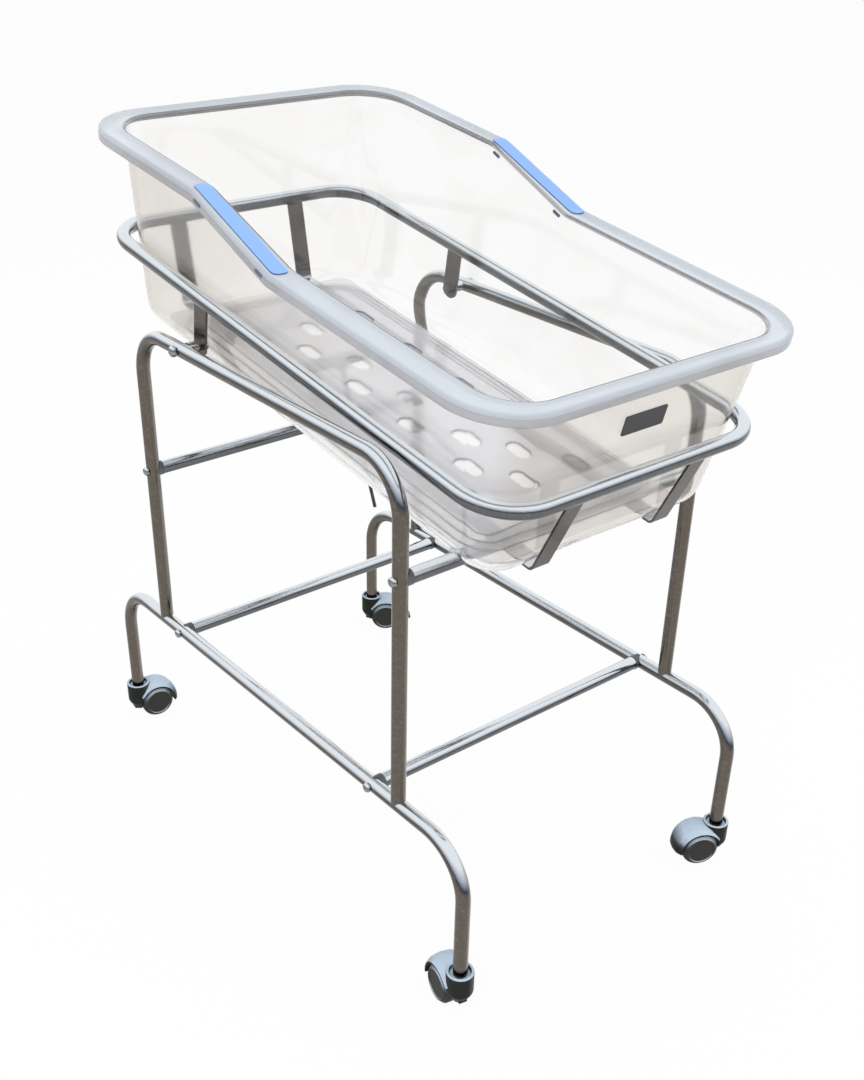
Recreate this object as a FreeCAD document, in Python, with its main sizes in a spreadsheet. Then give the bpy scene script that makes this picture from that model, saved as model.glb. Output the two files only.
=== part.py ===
import FreeCAD, Part
import math
import os
import re
import Sketcher

# Hospital bassinet: a clear tub in a tilting tubular basket, on a tubular base with four casters.
# Millimetres.  +X runs from the head end to the foot end, +Z is up, and the origin lies on the
# floor under the middle of the base.  The basket and the tub are drawn in a frame of their own,
# level with the basket loop, and are then tilted foot-down with it.

os.makedirs("parts", exist_ok=True)
doc = FreeCAD.newDocument("hospital_bassinet")
sheet = doc.addObject("Spreadsheet::Sheet", "Sizes")

SIZES = [
    # tubes of the base and the basket
    ("tube_dia", 19.0, "outside diameter of every tube"),
    ("tube_wall", 1.2, "wall of every tube"),
    ("weld_gap", 0.05, "between a coped end and what it is welded to"),
    ("fit_gap", 0.05, "radial clearance of a pin or bolt in its hole"),
    ("rest_gap", 0.3, "between faces of pieces that move apart"),
    # base frame
    ("side_y", 240.0, "middle of a side frame from the centre plane"),
    ("upright_x", 283.0, "upright from the middle of the base"),
    ("foot_reach", 127.0, "caster stem beyond the upright"),
    ("low_z", 246.0, "axis of the foot tube above the floor"),
    ("high_z", 695.0, "axis of the top tube above the floor"),
    ("foot_bend", 70.0, "bend radius of the foot tube"),
    ("hoop_bend", 62.0, "bend radius of the upright hoop"),
    ("cross_inset", 50.0, "lower crossbar inside the upright"),
    ("head_cross_z", 489.0, "axis of the upper head crossbar above the floor"),
    # crossbar ends
    ("collar_len", 4.0, "plug collar between a crossbar and a side tube"),
    ("collar_dia", 20.0, "plug collar diameter"),
    ("plug_len", 18.0, "plug shank inside the crossbar"),
    ("bolt_dia", 6.0, "crossbar bolt"),
    ("bolt_head_dia", 13.0, "domed head of the crossbar bolt"),
    ("bolt_head_len", 5.0, "height of that head"),
    # basket, in its own tilted frame
    ("tilt", 8.64, "foot-down tilt of the basket at rest, degrees"),
    ("loop_z", 732.9, "axis of the loop above the floor at the centre of the base"),
    ("loop_half_y", 210.5, "axis of the loop from the centre plane"),
    ("loop_head", 414.5, "axis of the loop's head side"),
    ("loop_foot", 412.0, "axis of the loop's foot side"),
    ("loop_bend", 65.0, "corner radius of the loop"),
    ("strap_y", 98.0, "middle of a lengthwise strap from the centre plane"),
    ("strap_width", 25.0, "width of the flat bar"),
    ("strap_thick", 3.0, "thickness of the flat bar"),
    ("strap_drop", 117.0, "underside of the straps below the loop axis"),
    ("strap_corner", 378.0, "strap corner from the middle"),
    ("strap_bend", 9.0, "outer bend radius of the strap"),
    # basket pivot
    ("pivot_x", 175.0, "pivot towards the head from the middle of the base"),
    ("pivot_dia", 8.0, "pivot bolt"),
    ("pivot_head_dia", 15.0, "pivot bolt head"),
    ("pivot_head_len", 6.5, "height of that head"),
    ("pivot_nut_len", 7.0, "pivot nut"),
    ("tab_width", 28.0, "width of the pivot tab"),
    ("spacer_dia", 14.0, "spacer bush on the pivot bolt"),
    # prop stay
    ("stay_dia", 5.0, "stay rod"),
    ("stay_hinge_s", 138.0, "stay hinge towards the head, basket frame"),
    ("stay_hinge_drop", 128.5, "stay hinge below the loop axis"),
    ("stay_lean", 21.7, "lean of the hanging stay towards the foot, degrees"),
    ("stay_len", 201.8, "free end of the stay from its hinge"),
    ("stay_pin_dia", 5.0, "hinge pin of the stay"),
    ("lug_thick", 3.0, "ear of the stay clevis"),
    # tub, in the basket frame
    ("tub_wall", 3.0, "wall of the moulded tub"),
    ("tub_low_half_y", 183.5, "outer half width at the bottom"),
    ("tub_low_head", 379.0, "outer head wall at the bottom"),
    ("tub_low_foot", 380.0, "outer foot wall at the bottom"),
    ("tub_low_corner", 46.0, "corner radius at the bottom"),
    ("tub_top_half_y", 219.5, "outer half width at the top of the head end"),
    ("tub_top_head", 390.0, "outer head wall at that height"),
    ("tub_top_foot", 407.0, "outer foot wall at that height"),
    ("tub_top_corner", 62.0, "corner radius at that height"),
    ("tub_edge", 28.0, "rounding of the bottom edge"),
    ("rim_head", 160.0, "rim of the head part above the loop axis"),
    ("rim_foot", 119.0, "rim of the foot part above the loop axis"),
    ("rim_slope", 0.86, "rise of both rims towards the foot, degrees"),
    ("step_head", 130.0, "head end of the sloping rim, from the middle"),
    ("step_foot", 30.0, "foot end of the sloping rim, from the middle"),
    ("step_blend", 45.0, "radius where the rim changes slope"),
    ("flange_half_y", 248.0, "outer half width of the rim flange"),
    ("flange_head", 418.0, "outer head edge of the rim flange"),
    ("flange_foot", 425.5, "outer foot edge of the rim flange"),
    ("flange_corner", 84.0, "corner radius of the rim flange"),
    ("flange_edge", 5.0, "rounding of the flange's outer edge"),
    ("skirt_drop", 15.0, "depth of the down-turned skirt"),
    ("deck_half_y", 152.0, "half width of the floor's first step"),
    ("deck_head", 335.0, "head end of the floor's first step"),
    ("deck_foot", 335.0, "foot end of the floor's first step"),
    ("deck_corner", 44.0, "corner radius of the floor's first step"),
    ("deck_step", 12.0, "tread between two floor steps"),
    ("deck_rise", 2.5, "height of one floor step"),
    ("dimple_len", 42.0, "length of an oval floor dimple"),
    ("dimple_width", 24.0, "width of an oval floor dimple"),
    ("dimple_deep", 2.0, "depth of an oval floor dimple"),
    ("dimple_wall", 2.0, "wall of an oval floor dimple"),
    ("dimple_pitch", 113.0, "oval dimples along a row"),
    ("dimple_row", 43.0, "rows of oval dimples"),
    ("dimple_shift", 14.0, "dimple pattern towards the foot"),
    ("grip_thick", 1.6, "grip plate on the rim"),
    ("grip_over", 9.0, "grip beyond each end of the sloping rim"),
    ("grip_margin", 1.5, "grip inside the flat of the rim"),
    ("grip_round", 8.0, "rounded corner of the grip"),
    ("clip_len", 14.0, "clip that shows the end of a grip's fastening"),
    ("clip_high", 4.0, "height of that clip"),
    ("clip_thick", 1.0, "clip proud of the wall"),
    ("clip_inset", 14.0, "clip inside the end of the sloping rim"),
    ("clip_drop", 8.0, "middle of the clip below the rim"),
    ("label_len", 65.0, "blank plate on the foot wall"),
    ("label_high", 25.0, "height of that plate"),
    ("label_thick", 1.2, "thickness of that plate"),
    ("label_up", 58.0, "middle of that plate above the loop axis"),
    # casters
    ("tube_end_z", 60.0, "lower end of the foot tube above the floor"),
    ("wheel_dia", 52.0, "caster wheel"),
    ("wheel_half", 21.0, "half the width over both wheels"),
    ("trail", 25.0, "axle behind the stem"),
    ("web_half", 5.5, "half the thickness of the hood's middle web"),
    ("wheel_gap", 1.5, "hood clear of the wheel tread"),
    ("hood_side", 2.5, "hood thickness at its side edges"),
    ("hood_crown", 7.0, "hood crown above its side edges"),
    ("arch_half", 96.0, "how far the hood reaches down behind from the top, degrees"),
    ("arch_front", 58.0, "how far it reaches down beside the boss, degrees"),
    ("boss_dia", 36.0, "front boss round the stem"),
    ("boss_top", 64.0, "top ring of the boss above the floor"),
    ("dish_dia", 29.0, "dish in the top of the boss"),
    ("dish_deep", 5.5, "depth of that dish"),
    ("stem_dia", 8.0, "swivel stem"),
    ("stem_low", 24.0, "lower end of the stem above the floor"),
    ("stem_plug", 34.0, "length of the stem's plug in the tube"),
    ("axle_dia", 6.0, "wheel axle"),
    ("wheel_shoulder", 5.0, "rounding of the tread's outer edge"),
    ("wheel_lip", 1.5, "raised lip round the side disc"),
    ("wheel_recess", 1.0, "side disc below that lip"),
    ("lever_width", 16.0, "brake lever"),
    ("lever_reach", 15.0, "brake lever tip behind its pin"),
    ("lever_drop", 13.0, "brake lever tip below its pin"),
    ("lever_tip", 3.0, "thickness of the lever at its tip"),
    ("lever_pin_dia", 3.0, "hinge pin of the brake lever"),
    ("turn_near_foot", 168.0, "direction in which this caster trails, degrees from +X"),
    ("turn_far_foot", 242.0, "direction in which this caster trails"),
    ("turn_near_head", 83.0, "direction in which this caster trails"),
    ("turn_far_head", 55.0, "direction in which this caster trails"),
]
for row, (alias, number, note) in enumerate(SIZES, start=1):
    sheet.set(f"A{row}", note)
    sheet.set(f"B{row}", str(number))
    sheet.setAlias(f"B{row}", alias)
doc.recompute()

ALIAS = re.compile(r"\b(" + "|".join(alias for alias, _, _ in SIZES) + r")\b")
MIRROR = {"near": -1, "far": 1}
DECK_STEPS = 3


def linked(formula):
    """A size formula with every alias pointed at the sheet."""
    return ALIAS.sub(r"Sizes.\1", str(formula))


def size(formula):
    """The number that a size formula gives."""
    found = sheet.evalExpression(linked(formula))
    return float(getattr(found, "Value", found))


def bind(thing, prop, formula):
    """Tie one property of an object to the sheet."""
    thing.setExpression(prop, linked(formula))


def place(thing, x="0", y="0", z="0", turn="0", axis=(0, 0, 1)):
    """Put an object at a place and angle that follow the sheet."""
    thing.Placement = FreeCAD.Placement(FreeCAD.Vector(0, 0, 0), FreeCAD.Rotation(FreeCAD.Vector(*axis), 1))
    bind(thing, ".Placement.Base.x", x)
    bind(thing, ".Placement.Base.y", y)
    bind(thing, ".Placement.Base.z", z)
    bind(thing, ".Placement.Rotation.Angle", turn)
    return thing


def in_basket(thing, y="0"):
    """Tilt an object drawn in the basket frame with the basket."""
    return place(thing, y=y, z="loop_z", turn="tilt", axis=(0, 1, 0))


# ---------------------------------------------------------------- sketches

def new_sketch(name, plane, body=None, offset=("0", "0", "0")):
    """A sketch on a body's origin plane, or a free one on the same plane of the document."""
    if body:
        drawing = body.newObject("Sketcher::SketchObject", name)
        face = [f for f in body.Origin.OriginFeatures if f.Role == plane + "_Plane"][0]
        drawing.AttachmentSupport = [(face, "")]
        drawing.MapMode = "FlatFace"
        for letter, formula in zip("xyz", offset):
            bind(drawing, ".AttachmentOffset.Base." + letter, formula)
        return drawing
    drawing = doc.addObject("Sketcher::SketchObject", name)
    turns = {"XY": FreeCAD.Rotation(), "XZ": FreeCAD.Rotation(FreeCAD.Vector(1, 0, 0), 90)}
    drawing.Placement = FreeCAD.Placement(FreeCAD.Vector(0, 0, 0), turns[plane])
    if plane == "XY":
        bind(drawing, ".Placement.Base.z", offset[2])
    return drawing


def fix_point(drawing, item, end, place_xy):
    """Dimension one point of a sketch from its origin."""
    for kind, formula in zip(("DistanceX", "DistanceY"), place_xy):
        number = drawing.addConstraint(Sketcher.Constraint(kind, -1, 1, item, end, size(formula)))
        bind(drawing, f"Constraints[{number}]", formula)


def circle(drawing, centre, diameter):
    """A dimensioned circle."""
    middle = FreeCAD.Vector(size(centre[0]), size(centre[1]), 0)
    item = drawing.addGeometry(Part.Circle(middle, FreeCAD.Vector(0, 0, 1), size(diameter) / 2))
    fix_point(drawing, item, 3, centre)
    number = drawing.addConstraint(Sketcher.Constraint("Diameter", item, size(diameter)))
    bind(drawing, f"Constraints[{number}]", diameter)
    return item


def line_path(drawing, corners, radii=None, closed=True):
    """Straight runs through dimensioned corners, each corner sharp or rounded by a tangent arc."""
    count = len(corners)
    radii = radii or [None] * count
    spots = [FreeCAD.Vector(size(x), size(y), 0) for x, y in corners]
    into, out, arcs = {}, {}, {}
    for i, spot in enumerate(spots):
        into[i] = out[i] = spot
        if radii[i] is None or (not closed and i in (0, count - 1)):
            continue
        back = (spots[i - 1] - spot).normalize()
        ahead = (spots[(i + 1) % count] - spot).normalize()
        half = back.getAngle(ahead) / 2
        reach = size(radii[i]) / math.tan(half)
        centre = spot + (back + ahead).normalize() * (size(radii[i]) / math.sin(half))
        into[i] = spot + back * reach
        out[i] = spot + ahead * reach
        left = back.cross(ahead).z < 0
        first, last = (into[i], out[i]) if left else (out[i], into[i])
        angles = [math.atan2(p.y - centre.y, p.x - centre.x) for p in (first, last)]
        if angles[1] < angles[0]:
            angles[1] += 2 * math.pi
        ring = Part.Circle(centre, FreeCAD.Vector(0, 0, 1), size(radii[i]))
        arcs[i] = (drawing.addGeometry(Part.ArcOfCircle(ring, *angles)), 1 if left else 2)
    runs = {}
    for i in range(count if closed else count - 1):
        runs[i] = drawing.addGeometry(Part.LineSegment(out[i], into[(i + 1) % count]))
    for i in range(count):
        before = runs.get((i - 1) % count) if closed or i else None
        after = runs.get(i)
        if i in arcs:
            arc, start = arcs[i]
            drawing.addConstraint(Sketcher.Constraint("Tangent", before, 2, arc, start))
            drawing.addConstraint(Sketcher.Constraint("Tangent", arc, 3 - start, after, 1))
            number = drawing.addConstraint(Sketcher.Constraint("Radius", arc, size(radii[i])))
            bind(drawing, f"Constraints[{number}]", radii[i])
            mark = drawing.addGeometry(Part.Point(spots[i]), True)
            drawing.addConstraint(Sketcher.Constraint("PointOnObject", mark, 1, before))
            drawing.addConstraint(Sketcher.Constraint("PointOnObject", mark, 1, after))
            fix_point(drawing, mark, 1, corners[i])
            continue
        if before is not None and after is not None:
            drawing.addConstraint(Sketcher.Constraint("Coincident", before, 2, after, 1))
        if after is not None:
            fix_point(drawing, after, 1, corners[i])
        else:
            fix_point(drawing, before, 2, corners[i])
    return drawing


def round_box(drawing, low, high, half_y, radius, grow="0"):
    """A rounded rectangle from x = low to high, y = -half_y to half_y, made larger by grow."""
    x0, x1, y1 = f"-({low}) - ({grow})", f"({high}) + ({grow})", f"({half_y}) + ({grow})"
    corners = [(x0, f"-({y1})"), (x1, f"-({y1})"), (x1, y1), (x0, y1)]
    return line_path(drawing, corners, [f"({radius}) + ({grow})"] * 4)


# ---------------------------------------------------------------- features

def new_body(label):
    """An empty body."""
    body = doc.addObject("PartDesign::Body", label)
    body.Label = label
    return body


def pad(body, drawing, length, symmetric=False, name="Pad"):
    """Raise a sketch."""
    feature = body.newObject("PartDesign::Pad", name)
    feature.Profile = drawing
    feature.SideType = "Symmetric" if symmetric else "One side"
    bind(feature, "Length", length)
    return feature


def pocket(body, drawing, length=None, symmetric=True, name="Pocket"):
    """Cut a sketch through the body, or to a depth."""
    feature = body.newObject("PartDesign::Pocket", name)
    feature.Profile = drawing
    feature.SideType = "Symmetric" if symmetric else "One side"
    if length is None:
        feature.Type = "ThroughAll"
    else:
        bind(feature, "Length", length)
    return feature


def revolve(body, drawing, axis="V_Axis", name="Revolution"):
    """Turn a sketch about one of its own axes."""
    feature = body.newObject("PartDesign::Revolution", name)
    feature.Profile = drawing
    feature.ReferenceAxis = (drawing, [axis])
    feature.Angle = 360
    return feature


def pipe(body, profile, path, kind="Additive"):
    """Sweep a profile along a path, to add it or to cut it."""
    feature = body.newObject(f"PartDesign::{kind}Pipe", "Pipe")
    feature.Profile = profile
    feature.Spine = (path, [f"Edge{i + 1}" for i in range(len(path.Shape.Edges))])
    return feature


def tube_ring(drawing, centre):
    """The section of a tube."""
    circle(drawing, centre, "tube_dia")
    circle(drawing, centre, "tube_dia - 2 * tube_wall")


def extrude(drawing, length, symmetric=False):
    """A prism on a free sketch."""
    prism = doc.addObject("Part::Extrusion", drawing.Name + "_prism")
    prism.Base = drawing
    prism.DirMode = "Normal"
    prism.Solid = True
    prism.Symmetric = symmetric
    bind(prism, "LengthFwd", length)
    return prism


def boolean(kind, name, *parts):
    """A Part boolean: Cut takes two objects, MultiFuse and MultiCommon any number."""
    result = doc.addObject("Part::" + kind, name)
    if kind == "Cut":
        result.Base, result.Tool = parts
    else:
        result.Shapes = list(parts)
    return result


def group(label, pattern, spots):
    """Copies of one piece as separate solids of one node."""
    doc.recompute()
    copies = []
    for spot in spots:
        copy = pattern.Shape.copy()
        copy.Placement = spot.multiply(pattern.Placement)
        copies.append(copy)
    node = doc.addObject("Part::Feature", label)
    node.Label = label
    node.Shape = Part.makeCompound(copies)
    return node


def spot(x, y, z, turn=0, axis=(0, 0, 1)):
    """A placement from plain numbers."""
    return FreeCAD.Placement(FreeCAD.Vector(x, y, z), FreeCAD.Rotation(FreeCAD.Vector(*axis), turn))


nodes = []

# ---------------------------------------------------------------- base frame

STRAP_SEAT = "-(strap_drop + tube_dia / 2 + rest_gap)"
FOOT_CROSS_Z = f"loop_z + ({STRAP_SEAT} - upright_x * sin(tilt)) / cos(tilt)"
BOLT_HOLE = "bolt_dia + 2 * fit_gap"
PIVOT_HOLE = "pivot_dia + 2 * fit_gap"


def foot_tube(side):
    """One long foot tube, bent down at both ends to the caster stems."""
    body = new_body(f"foot_tube_{side}")
    end = "upright_x + foot_reach"
    path = line_path(
        new_sketch("FootPath", "XZ", body),
        [(f"-({end})", "tube_end_z"), (f"-({end})", "low_z"), (end, "low_z"), (end, "tube_end_z")],
        [None, "foot_bend", "foot_bend", None],
        closed=False,
    )
    profile = new_sketch("FootSection", "XY", body, (f"-({end})", "0", "tube_end_z"))
    tube_ring(profile, ("0", "0"))
    doc.recompute()
    pipe(body, profile, path)
    holes = new_sketch("FootHoles", "XZ", body)
    for sign in ("-", ""):
        circle(holes, (f"{sign}(upright_x - cross_inset)", "low_z"), BOLT_HOLE)
    pocket(body, holes)
    return place(body, y=f"{MIRROR[side]} * side_y")


def upright_hoop(side):
    """An inverted U of tube whose legs stand, coped, on the foot tube."""
    body = new_body(f"upright_hoop_{side}")
    path = line_path(
        new_sketch("HoopPath", "XZ", body),
        [("-upright_x", "low_z"), ("-upright_x", "high_z"), ("upright_x", "high_z"), ("upright_x", "low_z")],
        [None, "hoop_bend", "hoop_bend", None],
        closed=False,
    )
    profile = new_sketch("HoopSection", "XY", body, ("-upright_x", "0", "low_z"))
    tube_ring(profile, ("0", "0"))
    doc.recompute()
    pipe(body, profile, path)
    cope = new_sketch("HoopCope", "YZ", body)
    circle(cope, ("0", "low_z"), "tube_dia + 2 * weld_gap")
    pocket(body, cope, name="Cope")
    holes = new_sketch("HoopHoles", "XZ", body)
    circle(holes, ("-upright_x", "head_cross_z"), BOLT_HOLE)
    circle(holes, ("upright_x", FOOT_CROSS_Z), BOLT_HOLE)
    circle(holes, ("-pivot_x", "high_z"), PIVOT_HOLE)
    pocket(body, holes)
    return place(body, y=f"{MIRROR[side]} * side_y")


def crossbar(label, x, z):
    """A straight tube between the side frames."""
    body = new_body(label)
    profile = new_sketch("BarSection", "XZ", body)
    tube_ring(profile, ("0", "0"))
    pad(body, profile, "2 * side_y - tube_dia - 2 * (collar_len + weld_gap)", symmetric=True)
    return place(body, x=x, z=z)


def end_plug():
    """The plug in a crossbar end: a shank in the bar and a collar shaped to the side tube."""
    body = new_body("plug_pattern")
    shank = new_sketch("PlugShank", "XZ", body)
    circle(shank, ("0", "0"), "tube_dia - 2 * tube_wall - 2 * fit_gap")
    pad(body, shank, "collar_len + plug_len")
    collar = new_sketch("PlugCollar", "XZ", body, ("0", "0", "-tube_dia / 2"))
    circle(collar, ("0", "0"), "collar_dia")
    pad(body, collar, "tube_dia / 2 + collar_len")
    cope = new_sketch("PlugCope", "YZ", body)
    circle(cope, ("tube_dia / 2", "0"), "tube_dia + 2 * weld_gap")
    pocket(body, cope, name="Cope")
    bore = new_sketch("PlugBore", "XZ", body)
    circle(bore, ("0", "0"), BOLT_HOLE)
    pocket(body, bore)
    return body


def domed_bolt(label, shank, head, head_len, length):
    """A bolt with a domed head, its shank along +Y from the face under the head."""
    body = new_body(label)
    profile = new_sketch("BoltProfile", "XY", body)
    line_path(
        profile,
        [("0", f"-{head_len}"), (f"{head} / 2", f"-{head_len}"), (f"{head} / 2", "0"),
         (f"{shank} / 2", "0"), (f"{shank} / 2", length), ("0", length)],
        [None, f"{head_len} * 0.8", None, None, None, None],
    )
    revolve(body, profile)
    return body


for side in MIRROR:
    nodes.append(foot_tube(side))
    nodes.append(upright_hoop(side))
BARS = {
    "lower_crossbar_head": ("-(upright_x - cross_inset)", "low_z", 0),
    "lower_crossbar_foot": ("upright_x - cross_inset", "low_z", 0),
    "upper_crossbar_head": ("-upright_x", "head_cross_z", 90),
    "upper_crossbar_foot": ("upright_x", FOOT_CROSS_Z, 90),
}
for label, (bar_x, bar_z, _) in BARS.items():
    nodes.append(crossbar(label, bar_x, bar_z))

plug = end_plug()
bolt = domed_bolt(
    "bolt_pattern", "bolt_dia", "bolt_head_dia", "bolt_head_len", "tube_dia + collar_len + plug_len",
)
plug_spots, bolt_spots = [], []
for bar_x, bar_z, roll in BARS.values():
    for sign, face in ((-1, 0), (1, 180)):
        inner = sign * (size("side_y - tube_dia / 2"))
        outer = sign * (size("side_y + tube_dia / 2"))
        inward = spot(0, 0, 0, 180 - face)
        rolled = spot(0, 0, 0, roll, (0, 1, 0))
        plug_spots.append(spot(size(bar_x), inner, size(bar_z)).multiply(inward).multiply(rolled))
        bolt_spots.append(spot(size(bar_x), outer, size(bar_z), face))
nodes.append(group("crossbar_plugs", plug, plug_spots))
nodes.append(group("crossbar_bolts", bolt, bolt_spots))

# ---------------------------------------------------------------- basket pivot

PIVOT_S = "(-pivot_x * cos(tilt) - (high_z - loop_z) * sin(tilt))"
PIVOT_N = "(-pivot_x * sin(tilt) + (high_z - loop_z) * cos(tilt))"
TAB_OUT = "loop_half_y + strap_thick / 2"
TAB_IN = "loop_half_y - strap_thick / 2"


def pivot_spacer():
    """The bush that holds the pivot tab clear of the side tube."""
    body = new_body("spacer_pattern")
    ring = new_sketch("SpacerRing", "XZ", body)
    circle(ring, ("0", "0"), "spacer_dia")
    circle(ring, ("0", "0"), PIVOT_HOLE)
    pad(body, ring, f"side_y - tube_dia / 2 - weld_gap - ({TAB_OUT}) - rest_gap")
    return body


def pivot_nut():
    """A hexagon nut."""
    body = new_body("nut_pattern")
    ring = new_sketch("NutRing", "XZ", body)
    corners = []
    for step in range(6):
        angle = 60 * step
        corners.append((f"spacer_dia / 2 * cos({angle})", f"spacer_dia / 2 * sin({angle})"))
    line_path(ring, corners)
    circle(ring, ("0", "0"), PIVOT_HOLE)
    pad(body, ring, "pivot_nut_len")
    return body


pivot_bolt = domed_bolt(
    "pivot_bolt_pattern", "pivot_dia", "pivot_head_dia", "pivot_head_len",
    f"side_y + tube_dia / 2 - ({TAB_IN}) + pivot_nut_len + 2",
)
spacer = pivot_spacer()
nut = pivot_nut()
ends = {"bolts": [], "spacers": [], "nuts": []}
for sign, face in ((-1, 0), (1, 180)):
    turn = spot(0, 0, 0, face)
    for kind, y in (
        ("bolts", "side_y + tube_dia / 2"),
        ("spacers", f"{TAB_OUT} + rest_gap"),
        ("nuts", f"{TAB_IN} - rest_gap - pivot_nut_len"),
    ):
        ends[kind].append(spot(-size("pivot_x"), sign * size(y), size("high_z")).multiply(turn))
nodes.append(group("pivot_bolts", pivot_bolt, ends["bolts"]))
nodes.append(group("pivot_spacers", spacer, ends["spacers"]))
nodes.append(group("pivot_nuts", nut, ends["nuts"]))

# ---------------------------------------------------------------- basket


def basket_loop():
    """The closed loop of tube that the tub's walls pass through."""
    body = new_body("basket_loop")
    path = line_path(
        new_sketch("LoopPath", "XY", body),
        [("0", "-loop_half_y"), ("loop_foot", "-loop_half_y"), ("loop_foot", "loop_half_y"),
         ("-loop_head", "loop_half_y"), ("-loop_head", "-loop_half_y")],
        [None, "loop_bend", "loop_bend", "loop_bend", "loop_bend"],
    )
    for kind, across in (("Additive", "tube_dia"), ("Subtractive", "tube_dia - 2 * tube_wall")):
        profile = new_sketch("LoopSection", "YZ", body)
        circle(profile, ("-loop_half_y", "0"), across)
        doc.recompute()
        pipe(body, profile, path, kind)
    return in_basket(body)


def lengthwise_strap(side):
    """A flat bar welded under the loop's head and foot sides, running below the tub."""
    body = new_body(f"basket_strap_{side}")
    outline = new_sketch("StrapOutline", "XZ", body)
    low, top = "-strap_drop", "-tube_dia / 2 * 0.6"
    head_run, foot_run = "(loop_head - strap_corner)", "(loop_foot - strap_corner)"
    rise = "(strap_drop - tube_dia / 2)"
    outer, inner = [], []
    for sign, run in (("-", head_run), ("", foot_run)):
        slope = f"({run} / {rise})"
        thick = f"strap_thick * sqrt(1 + {slope} ^ 2)"
        climb = f"({top} + strap_drop)"
        outer.append((f"{sign}strap_corner", low))
        outer.append((f"{sign}(strap_corner + {slope} * {climb})", top))
        inner.append((f"{sign}(strap_corner + {slope} * {climb} - {thick})", top))
        inner.append((f"{sign}(strap_corner + {slope} * strap_thick - {thick})", f"{low} + strap_thick"))
    corners = [outer[0], outer[2], outer[3], inner[2], inner[3], inner[1], inner[0], outer[1]]
    bend, tight = "strap_bend", "strap_bend - strap_thick"
    line_path(outline, corners, [bend, bend, None, None, tight, tight, None, None])
    pad(body, outline, "strap_width", symmetric=True)
    cope = new_sketch("StrapCope", "XZ", body)
    circle(cope, ("-loop_head", "0"), "tube_dia + 2 * weld_gap")
    circle(cope, ("loop_foot", "0"), "tube_dia + 2 * weld_gap")
    pocket(body, cope, name="Cope")
    return in_basket(body, y=f"{MIRROR[side]} * strap_y")


def pivot_tab(side):
    """The flat tab that hangs the loop on its pivot bolt."""
    body = new_body(f"pivot_tab_{side}")
    plate = new_sketch("TabPlate", "XZ", body)
    half = "tab_width / 2"
    line_path(
        plate,
        [(f"{PIVOT_S} - {half}", "0"), (f"{PIVOT_S} - {half}", f"{PIVOT_N} - {half}"),
         (f"{PIVOT_S} + {half}", f"{PIVOT_N} - {half}"), (f"{PIVOT_S} + {half}", "0")],
        [None, f"{half} * 0.9", f"{half} * 0.9", None],
    )
    circle(plate, (PIVOT_S, PIVOT_N), PIVOT_HOLE)
    pad(body, plate, "strap_thick", symmetric=True)
    cope = new_sketch("TabCope", "YZ", body)
    circle(cope, ("0", "0"), "tube_dia + 2 * weld_gap")
    pocket(body, cope, name="Cope")
    return in_basket(body, y=f"{MIRROR[side]} * loop_half_y")


nodes.append(basket_loop())
for side in MIRROR:
    nodes.append(lengthwise_strap(side))
    nodes.append(pivot_tab(side))

# ---------------------------------------------------------------- prop stay

EYE_DIA = "stay_pin_dia * 2.2"
EYE_WIDTH = "(stay_dia * 1.2)"
LUG_GAP = f"({EYE_WIDTH} / 2 + rest_gap)"
BRACKET_TOP = "(strap_drop + weld_gap)"


def stay_bracket():
    """A cross strap under the lengthwise straps with the two ears of the stay's hinge."""
    body = new_body("stay_bracket")
    plate = new_sketch("BracketPlate", "XZ", body)
    half = "strap_width / 2"
    line_path(
        plate,
        [(f"-stay_hinge_s - {half}", f"-{BRACKET_TOP} - strap_thick"),
         (f"-stay_hinge_s + {half}", f"-{BRACKET_TOP} - strap_thick"),
         (f"-stay_hinge_s + {half}", f"-{BRACKET_TOP}"), (f"-stay_hinge_s - {half}", f"-{BRACKET_TOP}")],
    )
    pad(body, plate, "2 * strap_y + strap_width", symmetric=True)
    for sign in ("", "-"):
        reach = f"{LUG_GAP} + lug_thick" if sign else f"-{LUG_GAP}"
        ear = new_sketch("Ear", "XZ", body, ("0", "0", reach))
        line_path(
            ear,
            [("-stay_hinge_s - stay_pin_dia", f"-{BRACKET_TOP} - strap_thick / 2"),
             ("-stay_hinge_s - stay_pin_dia", "-stay_hinge_drop - stay_pin_dia"),
             ("-stay_hinge_s + stay_pin_dia", "-stay_hinge_drop - stay_pin_dia"),
             ("-stay_hinge_s + stay_pin_dia", f"-{BRACKET_TOP} - strap_thick / 2")],
            [None, "stay_pin_dia * 0.9", "stay_pin_dia * 0.9", None],
        )
        feature = pad(body, ear, "lug_thick")
        feature.Reversed = True
    bore = new_sketch("EarBore", "XZ", body)
    circle(bore, ("-stay_hinge_s", "-stay_hinge_drop"), "stay_pin_dia + 2 * fit_gap")
    pocket(body, bore)
    return in_basket(body)


def at_hinge(body, turn):
    """Put a piece on the axis of the stay's hinge, turned about it."""
    return place(
        body,
        x="-stay_hinge_s * cos(tilt) - stay_hinge_drop * sin(tilt)",
        z="loop_z + stay_hinge_s * sin(tilt) - stay_hinge_drop * cos(tilt)",
        turn=turn,
        axis=(0, 1, 0),
    )


def stay_pin():
    """The rivet through the clevis, with a head at each end."""
    body = new_body("stay_pin")
    profile = new_sketch("PinProfile", "XY", body)
    end = f"({LUG_GAP} + lug_thick + weld_gap)"
    head = "stay_pin_dia * 0.85"
    line_path(
        profile,
        [("0", f"-{end} - 2"), (head, f"-{end} - 2"), (head, f"-{end}"), ("stay_pin_dia / 2", f"-{end}"),
         ("stay_pin_dia / 2", end), (head, end), (head, f"{end} + 2"), ("0", f"{end} + 2")],
        [None, "1.5", None, None, None, None, "1.5", None],
    )
    revolve(body, profile)
    return at_hinge(body, "tilt")


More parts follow.
